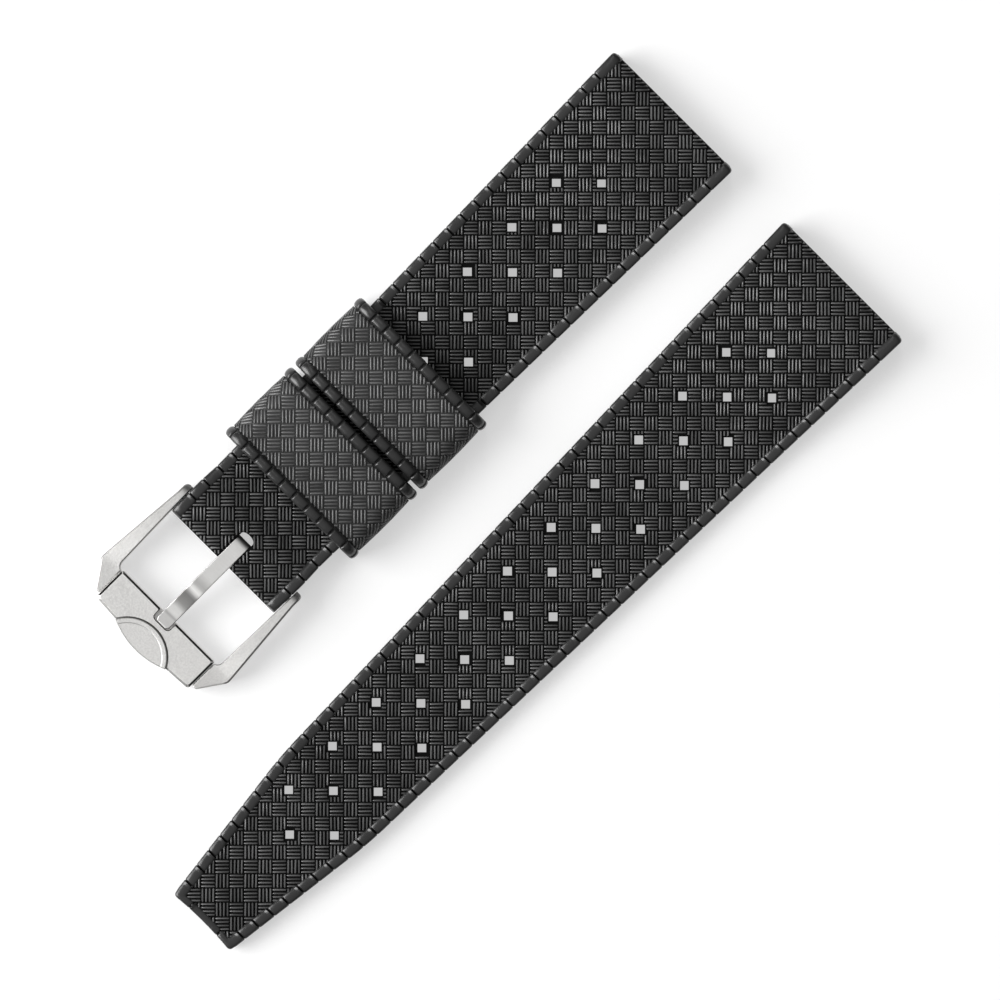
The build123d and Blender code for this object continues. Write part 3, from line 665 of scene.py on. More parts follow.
def ridge_field(loom):
    """Flat woven ribbing: square cells on the slant, whose ridges turn against the next cell's.

    A ridge that meets the bead, an end, a hole or the slot stops there, and one with next to
    nothing left is taken out."""
    cell, patch, gap, width = loom.sizes("Cell", "Patch Size", "Cell Gap", "Ridge Width")
    half_count = (patch / cell * 0.5).rounded()
    extent = {name: half_count * cell * 2.0 for name in ("Size X", "Size Y")}
    extent.update({name: half_count * 2.0 + 1.0 for name in ("Vertices X", "Vertices Y")})
    grid = loom.step("GeometryNodeMeshGrid", sockets=extent)
    cells = loom.step("GeometryNodeMeshToPoints", sockets={"Mesh": grid})
    ridges = loom.node(
        "GeometryNodeDuplicateElements",
        {"domain": "POINT"},
        {"Geometry": cells, "Amount": RIDGES_IN_CELL},
    )
    across, down, _ = loom.parts(loom.spot())
    turned = ((across / cell).rounded() + (down / cell).rounded()) % 2.0
    number = Amount(ridges.outputs["Duplicate Index"])
    shift = (number - (RIDGES_IN_CELL - 1) / 2) * cell / RIDGES_IN_CELL
    h = across + shift * turned
    v = down + shift * (1 - turned)
    start_x, start_y, _ = loom.parts(loom.inputs["Cell Start"])
    x = start_x + (v - h) * SLANT
    y = start_y + (v + h) * SLANT
    run_x = (turned * 2.0 - 1.0) * SLANT
    run_y = SLANT

    high = (cell - gap) * 0.5
    low = high * -1.0
    low_end, high_end, knee = loom.sizes("Low End", "High End", "Knee Place")
    near, knee_half, far = loom.sizes("Near Half Width", "Knee Half Width", "Far Half Width")
    before = near + (knee_half - near) * (x / knee)
    after = knee_half + (far - knee_half) * ((x - knee) / (high_end - knee))
    edge = before.at_most(after)
    low = low.at_least((edge * -1.0 - y) / run_y)
    high = high.at_most((edge - y) / run_y)
    end_a, end_b = (low_end - x) / run_x, (high_end - x) / run_x
    low = low.at_least(end_a.at_most(end_b))
    high = high.at_most(end_a.at_least(end_b))

    marks = hole_marks(loom)
    nearest = loom.step(
        "GeometryNodeSampleNearest",
        {"domain": "POINT"},
        {"Geometry": marks, "Sample Position": loom.vector(x, y, 0.0)},
    )
    mark = loom.step(
        "GeometryNodeSampleIndex",
        {"data_type": "FLOAT_VECTOR", "domain": "POINT"},
        {"Geometry": marks, "Value": loom.spot(), "Index": nearest},
    )
    mark_x, mark_y, _ = loom.parts(mark)
    gap_x, gap_y = mark_x - x, mark_y - y
    ahead = gap_x * run_x + gap_y * run_y
    aside = abs(gap_y * run_x - gap_x * run_y)
    margin, slot_half, slot_bottom, slot_offset = loom.sizes(
        "Hole Margin", "Slot Half Width", "Slot Bottom", "Slot Offset"
    )
    met = aside < margin + width * RIDGE_TOUCH
    low, high = stopped(low, high, ahead, margin, met, ahead > (low + high) * 0.5)

    slot_x = slot_bottom + slot_half
    off_line = y - slot_offset
    for side in (1, -1):
        meeting = (slot_half * side - off_line) / run_y
        cut = ((off_line * side) > 0.0) * ((x + run_x * meeting) > slot_x)
        if side == 1:
            low = low.at_least(meeting - (1 - cut) * FAR)
        else:
            high = high.at_most(meeting + (1 - cut) * FAR)
    gap_x = slot_x - x
    ahead = gap_x * run_x - off_line * run_y
    aside = gap_x * run_y + off_line * run_x
    chord = (slot_half * slot_half - aside * aside).at_least(0.0) ** 0.5
    low, high = stopped(low, high, ahead, chord, chord > SLOT_TOUCH, ahead > 0.0)

    centre = (high + low) * 0.5
    in_slot = (abs(off_line + run_y * centre) < slot_half) * ((x + run_x * centre) > slot_x)
    points = loom.stored(ridges.outputs[0], "ridge_length", (high - low) * (1 - in_slot))
    points = loom.stored(points, "tone", loom.random(0.0, 1.0, TONE_SEED))
    points = loom.stored(points, "ridge_turn", turned)
    points = loom.moved(points, loom.vector(x + run_x * centre, y + run_y * centre, 0.0))
    length, turn = Amount(loom.kept("ridge_length")), Amount(loom.kept("ridge_turn"))
    less = {"data_type": "FLOAT", "operation": "LESS_THAN"}
    short = loom.step("FunctionNodeCompare", less, {0: length, 1: RIDGE_SHORTEST})
    standing = loom.step(
        "GeometryNodeDeleteGeometry", {"domain": "POINT"}, {"Geometry": points, "Selection": short}
    )
    wander = loom.random(-RIDGE_WANDER, RIDGE_WANDER, WANDER_SEED)
    heading = math.radians(135) - turn * math.radians(90) + wander
    placed = loom.step(
        "GeometryNodeInstanceOnPoints",
        sockets={
            "Points": standing,
            "Instance": ridge_bar(loom, width, Amount(loom.inputs["Ridge Height"])),
            "Rotation": loom.vector(0.0, 0.0, heading),
            "Scale": loom.vector(length, 1.0, 1.0),
        },
    )
    return loom.step("GeometryNodeRealizeInstances", sockets={0: placed})


def weave_on_body_tree():
    """Lays the woven ribbing on the top face of a body."""
    loom = Loom("weave_on_body", RIDGE_SIZES, RIDGE_INPUTS)
    flat = ridge_field(loom)
    x, y, z = loom.parts(loom.spot())
    ray = loom.node(
        "GeometryNodeRaycast",
        sockets={
            "Target Geometry": loom.inputs["Geometry"],
            "Source Position": loom.vector(x, y, RAY_START),
            "Ray Direction": (0.0, 0.0, -1.0),
            "Ray Length": RAY_LENGTH,
        },
    )
    ground = loom.parts(ray.outputs["Hit Position"])[2]
    return loom.finished(loom.moved(flat, loom.vector(x, y, z + ground)))


def ribbed_bead_tree():
    """Runs a half round bead along an edge line and pinches it at every notch.

    The first half of each rib, which has its distance from the notch below nought, may have a
    sharper rounding and a crest on it."""
    names = ("Rounding", "Height", "Notch Floor", "Roundness")
    crest_names = ("Crest Rounding", "Crest", "Crest Reach")
    loom = Loom("ribbed_bead", names + crest_names)
    rounding, high, floor, roundness = loom.sizes(*names)
    sharp, crest, crest_reach = loom.sizes(*crest_names)
    spot = loom.spot()
    marked = loom.stored(loom.inputs["Geometry"], "spot", spot, "FLOAT_VECTOR")
    line = loom.step("GeometryNodeMeshToCurve", sockets={0: marked})
    sockets = {"Resolution": 14, "Radius": 1.0}
    circle = loom.step("GeometryNodeCurvePrimitiveCircle", {"mode": "RADIUS"}, sockets)
    profile = loom.stored(circle, "section", spot, "FLOAT_VECTOR")
    swept = {"Curve": line, "Profile Curve": profile, "Fill Caps": True}
    tube = loom.step("GeometryNodeCurveToMesh", sockets=swept)

    across, up, _ = loom.parts(loom.kept("section", "FLOAT_VECTOR"))
    wall, from_notch = Amount(loom.kept("wall")), Amount(loom.kept("from_notch"))
    first_half = from_notch < 0.0
    rounding = rounding + first_half * (sharp - rounding)
    left = (abs(from_notch) / rounding).at_most(1.0)
    swell = (1 - (1 - left) * (1 - left)) ** 0.5
    fall = (abs(from_notch) / crest_reach).at_most(1.0)
    crest = first_half * crest * (1 - fall)
    height = floor + (high + crest - floor) * swell
    above = up > 0.0
    upper, lower = BEAD_POWERS
    lean = across.sign() * abs(across) ** roundness * ((1 - BEAD_PINCH) + swell * BEAD_PINCH)
    rise = above * height * abs(up) ** upper - (1 - above) * wall * abs(up) ** lower
    aside = loom.scaled(loom.kept("side", "FLOAT_VECTOR"), lean)
    raised = loom.scaled(loom.kept("rise", "FLOAT_VECTOR"), rise)
    shift = loom.added(loom.kept("spot", "FLOAT_VECTOR"), loom.added(aside, raised))
    return loom.finished(loom.moved(tube, shift))


weave_on_body = weave_on_body_tree()
ribbed_bead = ribbed_bead_tree()


def rib_places(start, end, bends=()):
    """Places along one rib, close together at its ends and bends.

    Each comes with its distance from the nearer notch, below nought in the rib's first half."""
    length = end - start
    near = [0.0] + [NOTCH_HALF_WIDTH + part * RIB_ROUNDING for part in RIB_ROUND_PARTS]
    inner = max(int((length - 2 * near[-1]) / RIB_STEP), 1)
    middle = [near[-1] + (length - 2 * near[-1]) * k / inner for k in range(1, inner)]
    far = [length - place for place in reversed(near[1:])]
    crest = [NOTCH_HALF_WIDTH + place for place in CREST_PLACES]
    bends = [place - start for place in bends]
    places = sorted(near + crest + (middle or [length / 2]) + far + bends)
    lefts = [max(min(place, length - place) - NOTCH_HALF_WIDTH, 0.0) for place in places]
    signed = [-left if place < length / 2 else left for place, left in zip(places, lefts)]
    return [(start + place, left) for place, left in zip(places, signed)]


def edge_line(points, closed=False):
    """A line of points, each with its side and rise, its wall and its distance from a notch."""
    spots, sides, rises, walls, lefts = zip(*points)
    edges = [(k, k + 1) for k in range(len(points) - 1)]
    if closed:
        edges.append((len(points) - 1, 0))
    mesh = bpy.data.meshes.new("edge_line")
    mesh.from_pydata(spots, edges, [])
    for name, vectors in (("side", sides), ("rise", rises)):
        layer = mesh.attributes.new(name, "FLOAT_VECTOR", "POINT")
        layer.data.foreach_set("vector", [part for vector in vectors for part in vector])
    for name, values in (("wall", walls), ("from_notch", lefts)):
        mesh.attributes.new(name, "FLOAT", "POINT").data.foreach_set("value", values)
    return mesh


def bead_point(outer, inner, top, bottom, left):
    """A point of an edge line between an outer and an inner edge seen from above."""
    spot = ((outer[0] + inner[0]) / 2, (outer[1] + inner[1]) / 2, top)
    side = ((outer[0] - inner[0]) / 2, (outer[1] - inner[1]) / 2, 0.0)
    return (spot, side, (0.0, 0.0, 1.0), top - bottom - BEAD_LIFT, left)


def side_point(place, left, sign, shape):
    """A point of the bead along one side of a half."""
    half_width, top, bottom = shape
    edge = half_width(place)
    corner = end_drop(max(place, 0.0), CORNER_ROUNDING)
    outer, inner = (place, sign * (edge - corner)), (place, sign * (edge - BEAD_WIDTH))
    return bead_point(outer, inner, top(place), bottom(place), left)


def notched_side(notches, sign, shape):
    """Points of the bead along one side, from the first place in notches to the last."""
    points = []
    for start, end in zip(notches, notches[1:]):
        places = rib_places(start, end, CORNER_BENDS if start <= 0 else ())
        points += [side_point(place, left, sign, shape) for place, left in places]
    return points + [side_point(notches[-1], 0.0, sign, shape)]


def tip_place(y):
    """Place along the strap of the hollow end at a distance from the centre line."""
    part = min(abs(y) / (TIP_HALF_WIDTH - TIP_CORNER), 1.0)
    return TAIL_LENGTH - TIP_HOLLOW * (1 - part * part)


def tip_point(y, left):
    """A point of the bead across the tip."""
    x = tip_place(y)
    return bead_point((x, y), (x - TIP_BEAD_WIDTH, y), TAIL_THIN, 0.0, left)


def tail_corner(sign, last_notch):
    """The long rib round a corner of the tip, from the last notch of the side to the tip's own."""
    tip_edge = tail_half_width(TAIL_LENGTH)
    corner_x, corner_y = TAIL_LENGTH - TIP_CORNER, tip_edge - TIP_CORNER
    inner_x, inner_y = TAIL_LENGTH - TIP_BEAD_WIDTH, tip_edge - BEAD_WIDTH
    along_side, round_corner = corner_x - last_notch, TIP_CORNER * math.pi / 2
    bends = [along_side + TIP_CORNER * a for a in angles(0, 91, 15)]
    length = along_side + round_corner + corner_y - TIP_NOTCH_OFFSET
    points = []
    for place, left in rib_places(0.0, length, bends):
        turn = (place - along_side) / TIP_CORNER
        if place < along_side:
            x = last_notch + place
            y, within = tail_half_width(x), min(x, inner_x)
            inner = (within, tail_half_width(within) - BEAD_WIDTH)
        elif turn < math.pi / 2:
            x, y = corner_x + TIP_CORNER * math.sin(turn), corner_y + TIP_CORNER * math.cos(turn)
            inner = (inner_x, inner_y)
        else:
            y = corner_y - (place - along_side - round_corner)
            x = tip_place(y)
            inner = (x - TIP_BEAD_WIDTH, min(y, inner_y))
        outer, inner = (x, sign * y), (inner[0], sign * inner[1])
        points.append(bead_point(outer, inner, TAIL_THIN, 0.0, left))
    return points


# The weave's ridges get a lighter copy of the rubber, as painted light, and the ground between them a
# darker copy, as painted shade; the bead and the keepers keep about the rubber's own shade.
ridge_rubber_painted_light = rubber("ridge_rubber_painted_light", shade=0.042, roughness=0.34, shine=0.6, dust=0.9, spread=0.9)
bead_rubber = rubber("bead_rubber", shade=0.012, roughness=0.3, shine=0.55, dust=0.6)
ground_rubber_painted_shade = rubber("ground_rubber_painted_shade", shade=0.002, roughness=0.7, shine=0.06, dust=0.3)
WEAVE = {
    "Ridge Width": 0.25,
    "Ridge Height": 0.2,
    "Cell Gap": 0.1,
    "Low End": END_MARGIN,
    "Hole Margin": 0.68,
    "Hole Start": HOLE_START,
    "Hole Row Offset": HOLE_ROW_OFFSET,
    "Slot Half Width": 0.0,
    "Slot Bottom": OFF_PIECE,
    "Slot Offset": 0.0,
    "Material": ridge_rubber_painted_light,
}
BEAD = {
    "Height": BEAD_HEIGHT,
    "Rounding": RIB_ROUNDING,
    "Crest Rounding": 0.1,
    "Crest": 0.17,
    "Crest Reach": 0.42,
    "Notch Floor": -0.04,
    "Roundness": 0.75,
    "Material": bead_rubber,
}


def weave_widths(near, knee, knee_half, far):
    """The weave's half widths at the lug end, at a knee and at the other end of a half."""
    edges = {"Near Half Width": near, "Knee Half Width": knee_half, "Far Half Width": far}
    widths = {name: edge - BEAD_WIDTH + BEAD_OVERLAP for name, edge in edges.items()}
    return {**widths, "Knee Place": knee}


tail_blank = plain_body(TAIL_LENGTH - BODY_SHORTFALL, 1.0, TAIL_SHAPE)
tail_ridges = {
    "Cell": TAIL_CELL,
    "Cell Start": TAIL_CELL_START,
    "Patch Size": 100.0,
    "High End": TAIL_LENGTH - TIP_MARGIN,
    "Hole Pitch": TAIL_HOLE_PITCH,
    "Hole Count": TAIL_HOLE_COUNT,
    **weave_widths(LUG_HALF_WIDTH, KNEE_PLACE, KNEE_HALF_WIDTH, TIP_HALF_WIDTH),
}
tail_weave = from_nodes(tail_blank.copy(), weave_on_body, {**WEAVE, **tail_ridges})
tail_bore = cross_rod(*LUG_BORE)
tail_holes = hole_cutters(TAIL_HOLE_PITCH, TAIL_HOLE_COUNT)
tail_body = cut_away(tail_blank, joined([tail_bore] + tail_holes))

tail_notches = [-LUG_OVERHANG]
tail_notches += [TAIL_NOTCH_START + TAIL_NOTCH_PITCH * k for k in range(TAIL_NOTCH_COUNT)]
near_side, far_side = [notched_side(tail_notches, sign, TAIL_SHAPE) for sign in (-1, 1)]
near_corner, far_corner = [tail_corner(sign, tail_notches[-1]) for sign in (-1, 1)]
tip_rib = [tip_point(y, left) for y, left in rib_places(-TIP_NOTCH_OFFSET, TIP_NOTCH_OFFSET)]
tail_edge = near_side[:-1] + near_corner + tip_rib + [tip_point(TIP_NOTCH_OFFSET, 0.0)]
tail_edge += far_corner[:0:-1] + far_side[::-1]
tail_bead = cut_away(from_nodes(edge_line(tail_edge), ribbed_bead, BEAD), tail_bore)
parts = (
    ("body", tail_body, ground_rubber_painted_shade),
    ("weave", tail_weave, ridge_rubber_painted_light),
    ("bead", tail_bead, bead_rubber),
)
moulded("tail", parts, 0.0, TAIL_LINE, "tail_half", "tail_strap")


# Buckle half. The same rubber, thick at the lug end and again round the buckle's bar, with a slot
# in that end for the tang and holes across it for the watch's bar and for the buckle's.
SHORT_LINE = -13.95
SHORT_LENGTH = 75.9
SHORT_END_HALF_WIDTH = 8.4
SHORT_LIFT = 0.95
SHORT_THIN = 2.85
SWELL_START, SWELL_END, SWELL_HEIGHT = 67.5, 71.7, 3.65
EAR_SWELL = 0.2
SHORT_END_ROUNDING = 0.8
SHORT_HOLE_PITCH = 7.5
SHORT_HOLE_COUNT = 5
SHORT_NOTCH_START = 3.6
SHORT_NOTCH_PITCH = 2.31
SHORT_NOTCH_COUNT = 31
SHORT_CELL = 1.7006
SHORT_CELL_START = (31.739, -0.003, 0.0)
BAR_PLACE = 73.7
BAR_HEIGHT = 2.3
BAR_BORE = 0.8
SLOT_HALF_WIDTH = 1.0
SLOT_OFFSET = 0.1
SLOT_BOTTOM = 71.4
SLOT_ROUND = 0.55  # depth of its rounded bottom, which leaves room for the tang's edges
SLOT_RUN_OUT = 2.0  # past the end of the strap
SLOT_MARGINS = (0.12, 0.1)  # of the ribbing beside the slot and at its bottom


def swelling(place, height):
    """How much of a height the strap has gained on its way to the bar."""
    return thickness_curve(place, SWELL_START, SWELL_END, 0.0, height)


def short_drop(place):
    return end_drop(place, LUG_ROUNDING) + end_drop(SHORT_LENGTH - place, SHORT_END_ROUNDING)


def short_top(place):
    height = thickness_curve(place, LUG_FLAT, TAPER_END, LUG_HEIGHT, SHORT_THIN)
    return height + swelling(place, SWELL_HEIGHT - SHORT_THIN) - short_drop(place)


def short_bottom(place):
    return thickness_curve(place, LUG_FLAT, TAPER_END, 0.0, SHORT_LIFT) + short_drop(place)


def short_half_width(place):
    """From the centre line to the edge, which swells between the buckle's ears."""
    taper = (SHORT_END_HALF_WIDTH - LUG_HALF_WIDTH) * place / SHORT_LENGTH
    return LUG_HALF_WIDTH + taper + swelling(place, EAR_SWELL)


SHORT_SHAPE = (short_half_width, short_top, short_bottom)


def slot_outline():
    """Plan of the tang's slot, round at its bottom and run out past the end of the strap."""
    centre, end = SLOT_BOTTOM + SLOT_ROUND, SHORT_LENGTH + SLOT_RUN_OUT
    turns = angles(90, 271, 15)
    plan = [(centre + SLOT_ROUND * math.cos(a), SLOT_HALF_WIDTH * math.sin(a)) for a in turns]
    plan += [(end, -SLOT_HALF_WIDTH), (end, SLOT_HALF_WIDTH)]
    return [(x, y + SLOT_OFFSET) for x, y in plan]


short_blank = plain_body(SHORT_LENGTH, 0.7, SHORT_SHAPE)
short_middle = (LUG_HALF_WIDTH + SHORT_END_HALF_WIDTH) / 2
short_ridges = {
    "Cell": SHORT_CELL,
    "Cell Start": SHORT_CELL_START,
    "Patch Size": 90.0,
    "High End": SHORT_LENGTH - END_MARGIN,
    "Hole Pitch": SHORT_HOLE_PITCH,
    "Hole Count": SHORT_HOLE_COUNT,
    "Slot Half Width": SLOT_HALF_WIDTH + SLOT_MARGINS[0],
    "Slot Bottom": SLOT_BOTTOM - SLOT_MARGINS[1],
    "Slot Offset": SLOT_OFFSET,
    **weave_widths(LUG_HALF_WIDTH, SHORT_LENGTH / 2, short_middle, SHORT_END_HALF_WIDTH),
}
short_weave = from_nodes(short_blank.copy(), weave_on_body, {**WEAVE, **short_ridges})
short_bores = joined([cross_rod(*LUG_BORE), cross_rod(BAR_PLACE, BAR_HEIGHT, BAR_BORE)])
openings = [cutter(slot_outline())] + hole_cutters(SHORT_HOLE_PITCH, SHORT_HOLE_COUNT)
short_body = cut_away(cut_away(short_blank, short_bores), joined(openings))

short_notches = [-LUG_OVERHANG]
short_notches += [SHORT_NOTCH_START + SHORT_NOTCH_PITCH * k for k in range(SHORT_NOTCH_COUNT)]
short_notches.append(SHORT_LENGTH)
sides = [edge_line(notched_side(short_notches, sign, SHORT_SHAPE)) for sign in (-1, 1)]
short_rails = joined([from_nodes(side, ribbed_bead, BEAD) for side in sides])
short_bead = cut_away(short_rails, short_bores)
parts = (
    ("body", short_body, ground_rubber_painted_shade),
    ("weave", short_weave, ridge_rubber_painted_light),
    ("bead", short_bead, bead_rubber),
)
moulded("buckle_half", parts, 0.0, SHORT_LINE, "buckle_half", "buckle_strap")


# Keepers. Two loose loops of the same rubber round the buckle half, each a flat band with the
# woven ribbing between two ribbed rims. Both slide along the strap.
KEEPER_LENGTH = 11.2
KEEPER_WALL = 0.85
KEEPER_HALF_WIDTH = 10.305
KEEPER_SHOULDER = 5.8
KEEPER_CROWN = 0.6
KEEPER_CORNER = 1.45
KEEPER_TOP_CORNER = 2.35
KEEPER_BARREL = 0.2
KEEPER_END = (  # round the edge of either end: distance from the end and height over the face
    (0.25, 0.0), (0.1, -0.15), (0.1, 0.15 - KEEPER_WALL), (0.25, -KEEPER_WALL),
)
KEEPER_RIM_WIDTH = 1.35
KEEPER_RIM_HEIGHT = 0.45
KEEPER_NOTCH_PITCH = 2.06
KEEPER_NOTCH_START = 0.45
KEEPER_NOTCHES = range(-7, 8)  # counted from the middle of the top
KEEPER_GROOVE = 0.14  # width and depth of the groove between a rim and the ribbing
KEEPER_GROOVE_LIPS = (0.1, 0.05)  # of level face kept before and after it
KEEPER_SECTIONS = (2.5, 4.0)  # further places where the band is modelled, from either end
KEEPER_WEAVE_REACH = 14.6  # down each side from the middle of the top
KEEPER_WEAVE_GAP = 0.1  # between a rim and the ribbing
KEEPERS = {
    "keeper_by_lugs": ("keeper_lugs", 41.98, 1.688, (5.495, -0.105, 0.0)),
    "keeper_by_buckle": ("keeper_buckle", 53.68, 1.698, (5.625, -0.629, 0.0)),
}  # body, start, cell and cell start of each


def keeper_turn(radius, height, start):
    """A rounded corner of the loop: a quarter turn on from an angle in degrees."""
    flat = KEEPER_HALF_WIDTH - radius
    turns = [(math.cos(a), math.sin(a)) for a in angles(start, start - 91, -10)]
    return [(radius * out - flat, height + radius * up, out, up) for out, up in turns]


def keeper_loop():
    """Points round a keeper's outer face seen along the strap, each with its outward direction.

    They start under the strap's middle and reach the top's middle half way round."""
    flat = KEEPER_HALF_WIDTH - KEEPER_CORNER
    rising = [(-flat * k / 6, 0.0, 0.0, -1.0) for k in range(6)]
    rising += keeper_turn(KEEPER_CORNER, KEEPER_CORNER, 270)
    side = KEEPER_SHOULDER - KEEPER_CORNER - KEEPER_TOP_CORNER
    rising += [(-KEEPER_HALF_WIDTH, KEEPER_CORNER + side * k / 4, -1.0, 0.0) for k in range(1, 4)]
    rising += keeper_turn(KEEPER_TOP_CORNER, KEEPER_SHOULDER - KEEPER_TOP_CORNER, 180)
    flat = KEEPER_HALF_WIDTH - KEEPER_TOP_CORNER
    for y in [-flat * (1 - k / 15) for k in range(1, 15)]:
        lean = math.atan2(-2 * KEEPER_CROWN * y / flat / flat, 1.0)
        height = KEEPER_SHOULDER + KEEPER_CROWN * (1 - (y / flat) ** 2)
        rising.append((y, height, -math.sin(lean), math.cos(lean)))
    falling = [(-y, z, -out_y, out_z) for y, z, out_y, out_z in reversed(rising[1:])]
    return rising + [(0.0, KEEPER_SHOULDER + KEEPER_CROWN, 0.0, 1.0)] + falling


LOOP = keeper_loop()
LOOP_REACH = [0.0]
for here, there in zip(LOOP, LOOP[1:] + LOOP[:1]):
    LOOP_REACH.append(LOOP_REACH[-1] + math.hypot(there[0] - here[0], there[1] - here[1]))
LOOP_LENGTH = LOOP_REACH[-1]


def on_loop(distance):
    """Place and outward direction at a distance round the loop from the middle of its top."""
    reach = (distance + LOOP_LENGTH / 2) % LOOP_LENGTH
    k = max(index for index, start in enumerate(LOOP_REACH[:-1]) if start <= reach)
    part = (reach - LOOP_REACH[k]) / (LOOP_REACH[k + 1] - LOOP_REACH[k])
    here, there = LOOP[k], LOOP[(k + 1) % len(LOOP)]
    return [a + (b - a) * part for a, b in zip(here, there)]


def keeper_band():
    """The plain band of a keeper, its sides bulging a little half way along."""
    middle = KEEPER_LENGTH / 2
    groove = [KEEPER_RIM_WIDTH, KEEPER_RIM_WIDTH + KEEPER_GROOVE]
    before, after = KEEPER_GROOVE_LIPS
    near = [groove[0] - before, *groove, groove[1] + after, *KEEPER_SECTIONS]
    places = near + [middle] + [KEEPER_LENGTH - x for x in reversed(near)]
    rings = []
    for y, z, out_y, out_z in LOOP:
        ring = [(x, y + out_y * level, z + out_z * level) for x, level in reversed(KEEPER_END)]
        for x in places:
            deep = -KEEPER_GROOVE * float(min(x, KEEPER_LENGTH - x) in groove)
            level = deep + KEEPER_BARREL * abs(out_y) * (1 - ((x - middle) / middle) ** 2)
            ring.append((x, y + out_y * level, z + max(out_z, 0.0) * level))
        for x, level in KEEPER_END:
            ring.append((KEEPER_LENGTH - x, y + out_y * level, z + out_z * level))
        rings.append(ring)
    return skinned(rings, closed=True)


def weave_on_loop_tree():
    """Wraps the woven ribbing round a keeper's band."""
    names = ("Loop Length", "Band Length", "Barrel")
    loom = Loom("weave_on_loop", RIDGE_SIZES + names, RIDGE_INPUTS)
    loop_length, band_length, barrel = loom.sizes(*names)
    flat = ridge_field(loom)
    line = loom.step("GeometryNodeMeshToCurve", sockets={0: loom.inputs["Geometry"]})
    x, y, z = loom.parts(loom.spot())
    spot = loom.node(
        "GeometryNodeSampleCurve",
        {"mode": "LENGTH", "use_all_curves": True},
        {"Curves": line, "Length": loop_length * 0.5 + y},
    )
    along = {0: (1.0, 0.0, 0.0), 1: spot.outputs["Tangent"]}
    out = loom.step("ShaderNodeVectorMath", {"operation": "CROSS_PRODUCT"}, along)
    middle = band_length * 0.5
    off = (x - middle) / middle
    bulge = barrel * abs(loom.parts(out)[1]) * (1 - off * off)
    _, loop_y, loop_z = loom.parts(spot.outputs["Position"])
    placed = loom.added(loom.scaled(out, z + bulge), loom.vector(x, loop_y, loop_z))
    return loom.finished(loom.moved(flat, placed))


weave_on_loop = weave_on_loop_tree()
loop_line = bpy.data.meshes.new("loop_line")
loop_points = [(0.0, y, z) for y, z, out_y, out_z in LOOP + LOOP[:1]]
loop_line.from_pydata(loop_points, [(k, k + 1) for k in range(len(LOOP))], [])
RIM = {**BEAD, "Height": KEEPER_RIM_HEIGHT, "Roundness": 1.0}
RIM.update({"Crest": 0.0, "Crest Rounding": RIB_ROUNDING})


def keeper_rim(middle):
    """One ribbed rim, its centre line at a place along the keeper."""
    notches = [KEEPER_NOTCH_START + KEEPER_NOTCH_PITCH * k for k in KEEPER_NOTCHES]
    notches.append(LOOP_LENGTH + notches[0])
    side = (KEEPER_RIM_WIDTH / 2, 0.0, 0.0)
    points = []
    for start, end in zip(notches, notches[1:]):
        for distance, left in rib_places(start, end):
            y, z, out_y, out_z = on_loop(distance)
            rise = (0.0, out_y, max(out_z, 0.0))
            points.append(((middle, y, z), side, rise, KEEPER_RIM_HEIGHT, left))
    return from_nodes(edge_line(points, closed=True), ribbed_bead, RIM)


keeper_rubber = rubber("keeper_rubber", shade=0.011, roughness=0.42, shine=0.4, dust=0.6)
keeper_ridges = {
    **WEAVE,
    "Patch Size": 40.0,
    "Ridge Height": 0.14,
    "Low End": KEEPER_RIM_WIDTH + KEEPER_WEAVE_GAP,
    "High End": KEEPER_LENGTH - KEEPER_RIM_WIDTH - KEEPER_WEAVE_GAP,
    "Near Half Width": KEEPER_WEAVE_REACH,
    "Far Half Width": KEEPER_WEAVE_REACH,
    "Knee Place": KEEPER_LENGTH / 2,
    "Knee Half Width": KEEPER_WEAVE_REACH,
    "Hole Start": OFF_PIECE,
    "Hole Pitch": 1.0,
    "Hole Count": 2,
    "Loop Length": LOOP_LENGTH,
    "Band Length": KEEPER_LENGTH,
    "Barrel": KEEPER_BARREL,
}
for node, (body, start, cell, cell_start) in KEEPERS.items():
    ridges = {**keeper_ridges, "Cell": cell, "Cell Start": cell_start}
    rims = [keeper_rim(KEEPER_RIM_WIDTH / 2), keeper_rim(KEEPER_LENGTH - KEEPER_RIM_WIDTH / 2)]
    parts = (
        ("band", keeper_band(), keeper_rubber),
        ("weave", from_nodes(loop_line.copy(), weave_on_loop, ridges), ridge_rubber_painted_light),
        ("rims", joined(rims), bead_rubber),
    )
    moulded(node, parts, start, SHORT_LINE, body, node)


# Buckle frame. One piece of stainless steel: two arms that end in ears round the bar, a raised
# plate across the front and a thicker round boss on it. It is blasted to an even pale grey, but
# for the plate's polished edge, and a groove runs round the boss. Painted shade darkens the ears'
# round ends, the arms and their bevels, the plate's front and slanting edges, the boss's rim, the
# groove and the tang's rest.
EAR_RADIUS = 1.55
EAR_ROUNDING = 0.55
EAR_HOLE = 0.45
EAR_INNER = 8.729  # from the middle to an ear's inner face
EAR_OUTER = 9.679
ARM_TOP = (3.85, -0.02156, -0.00743)  # height at the bar, then slope and bend along the arm
ARM_LOW = (0.75, 0.0474, -0.00743)
ARM_ARCH_END = 11.6
ARM_ARCH_ROUNDING = 0.3  # of the turn from the arch to the level front
ARM_BEVELS = (0.22, 0.14)  # outside and inside
ARM_STEP, ARM_SECTIONS = 0.89, 13  # from the bar to the window's corner
ARM_FRONT = (11.8, 12.0, 12.2, 12.5, 13.0, 13.8, 14.6, 15.0)  # sections past the window
ARM_END = (15.25, 8.45)
ARM_END_ROUNDING = 0.12
SHOULDER = (12.0, 10.7)  # place of the outer corner and half the width there
SHOULDER_ROUNDING = 0.08
WINDOW_END = 11.6
WINDOW_HALF_WIDTH = 8.45
WINDOW_CORNER = 0.9
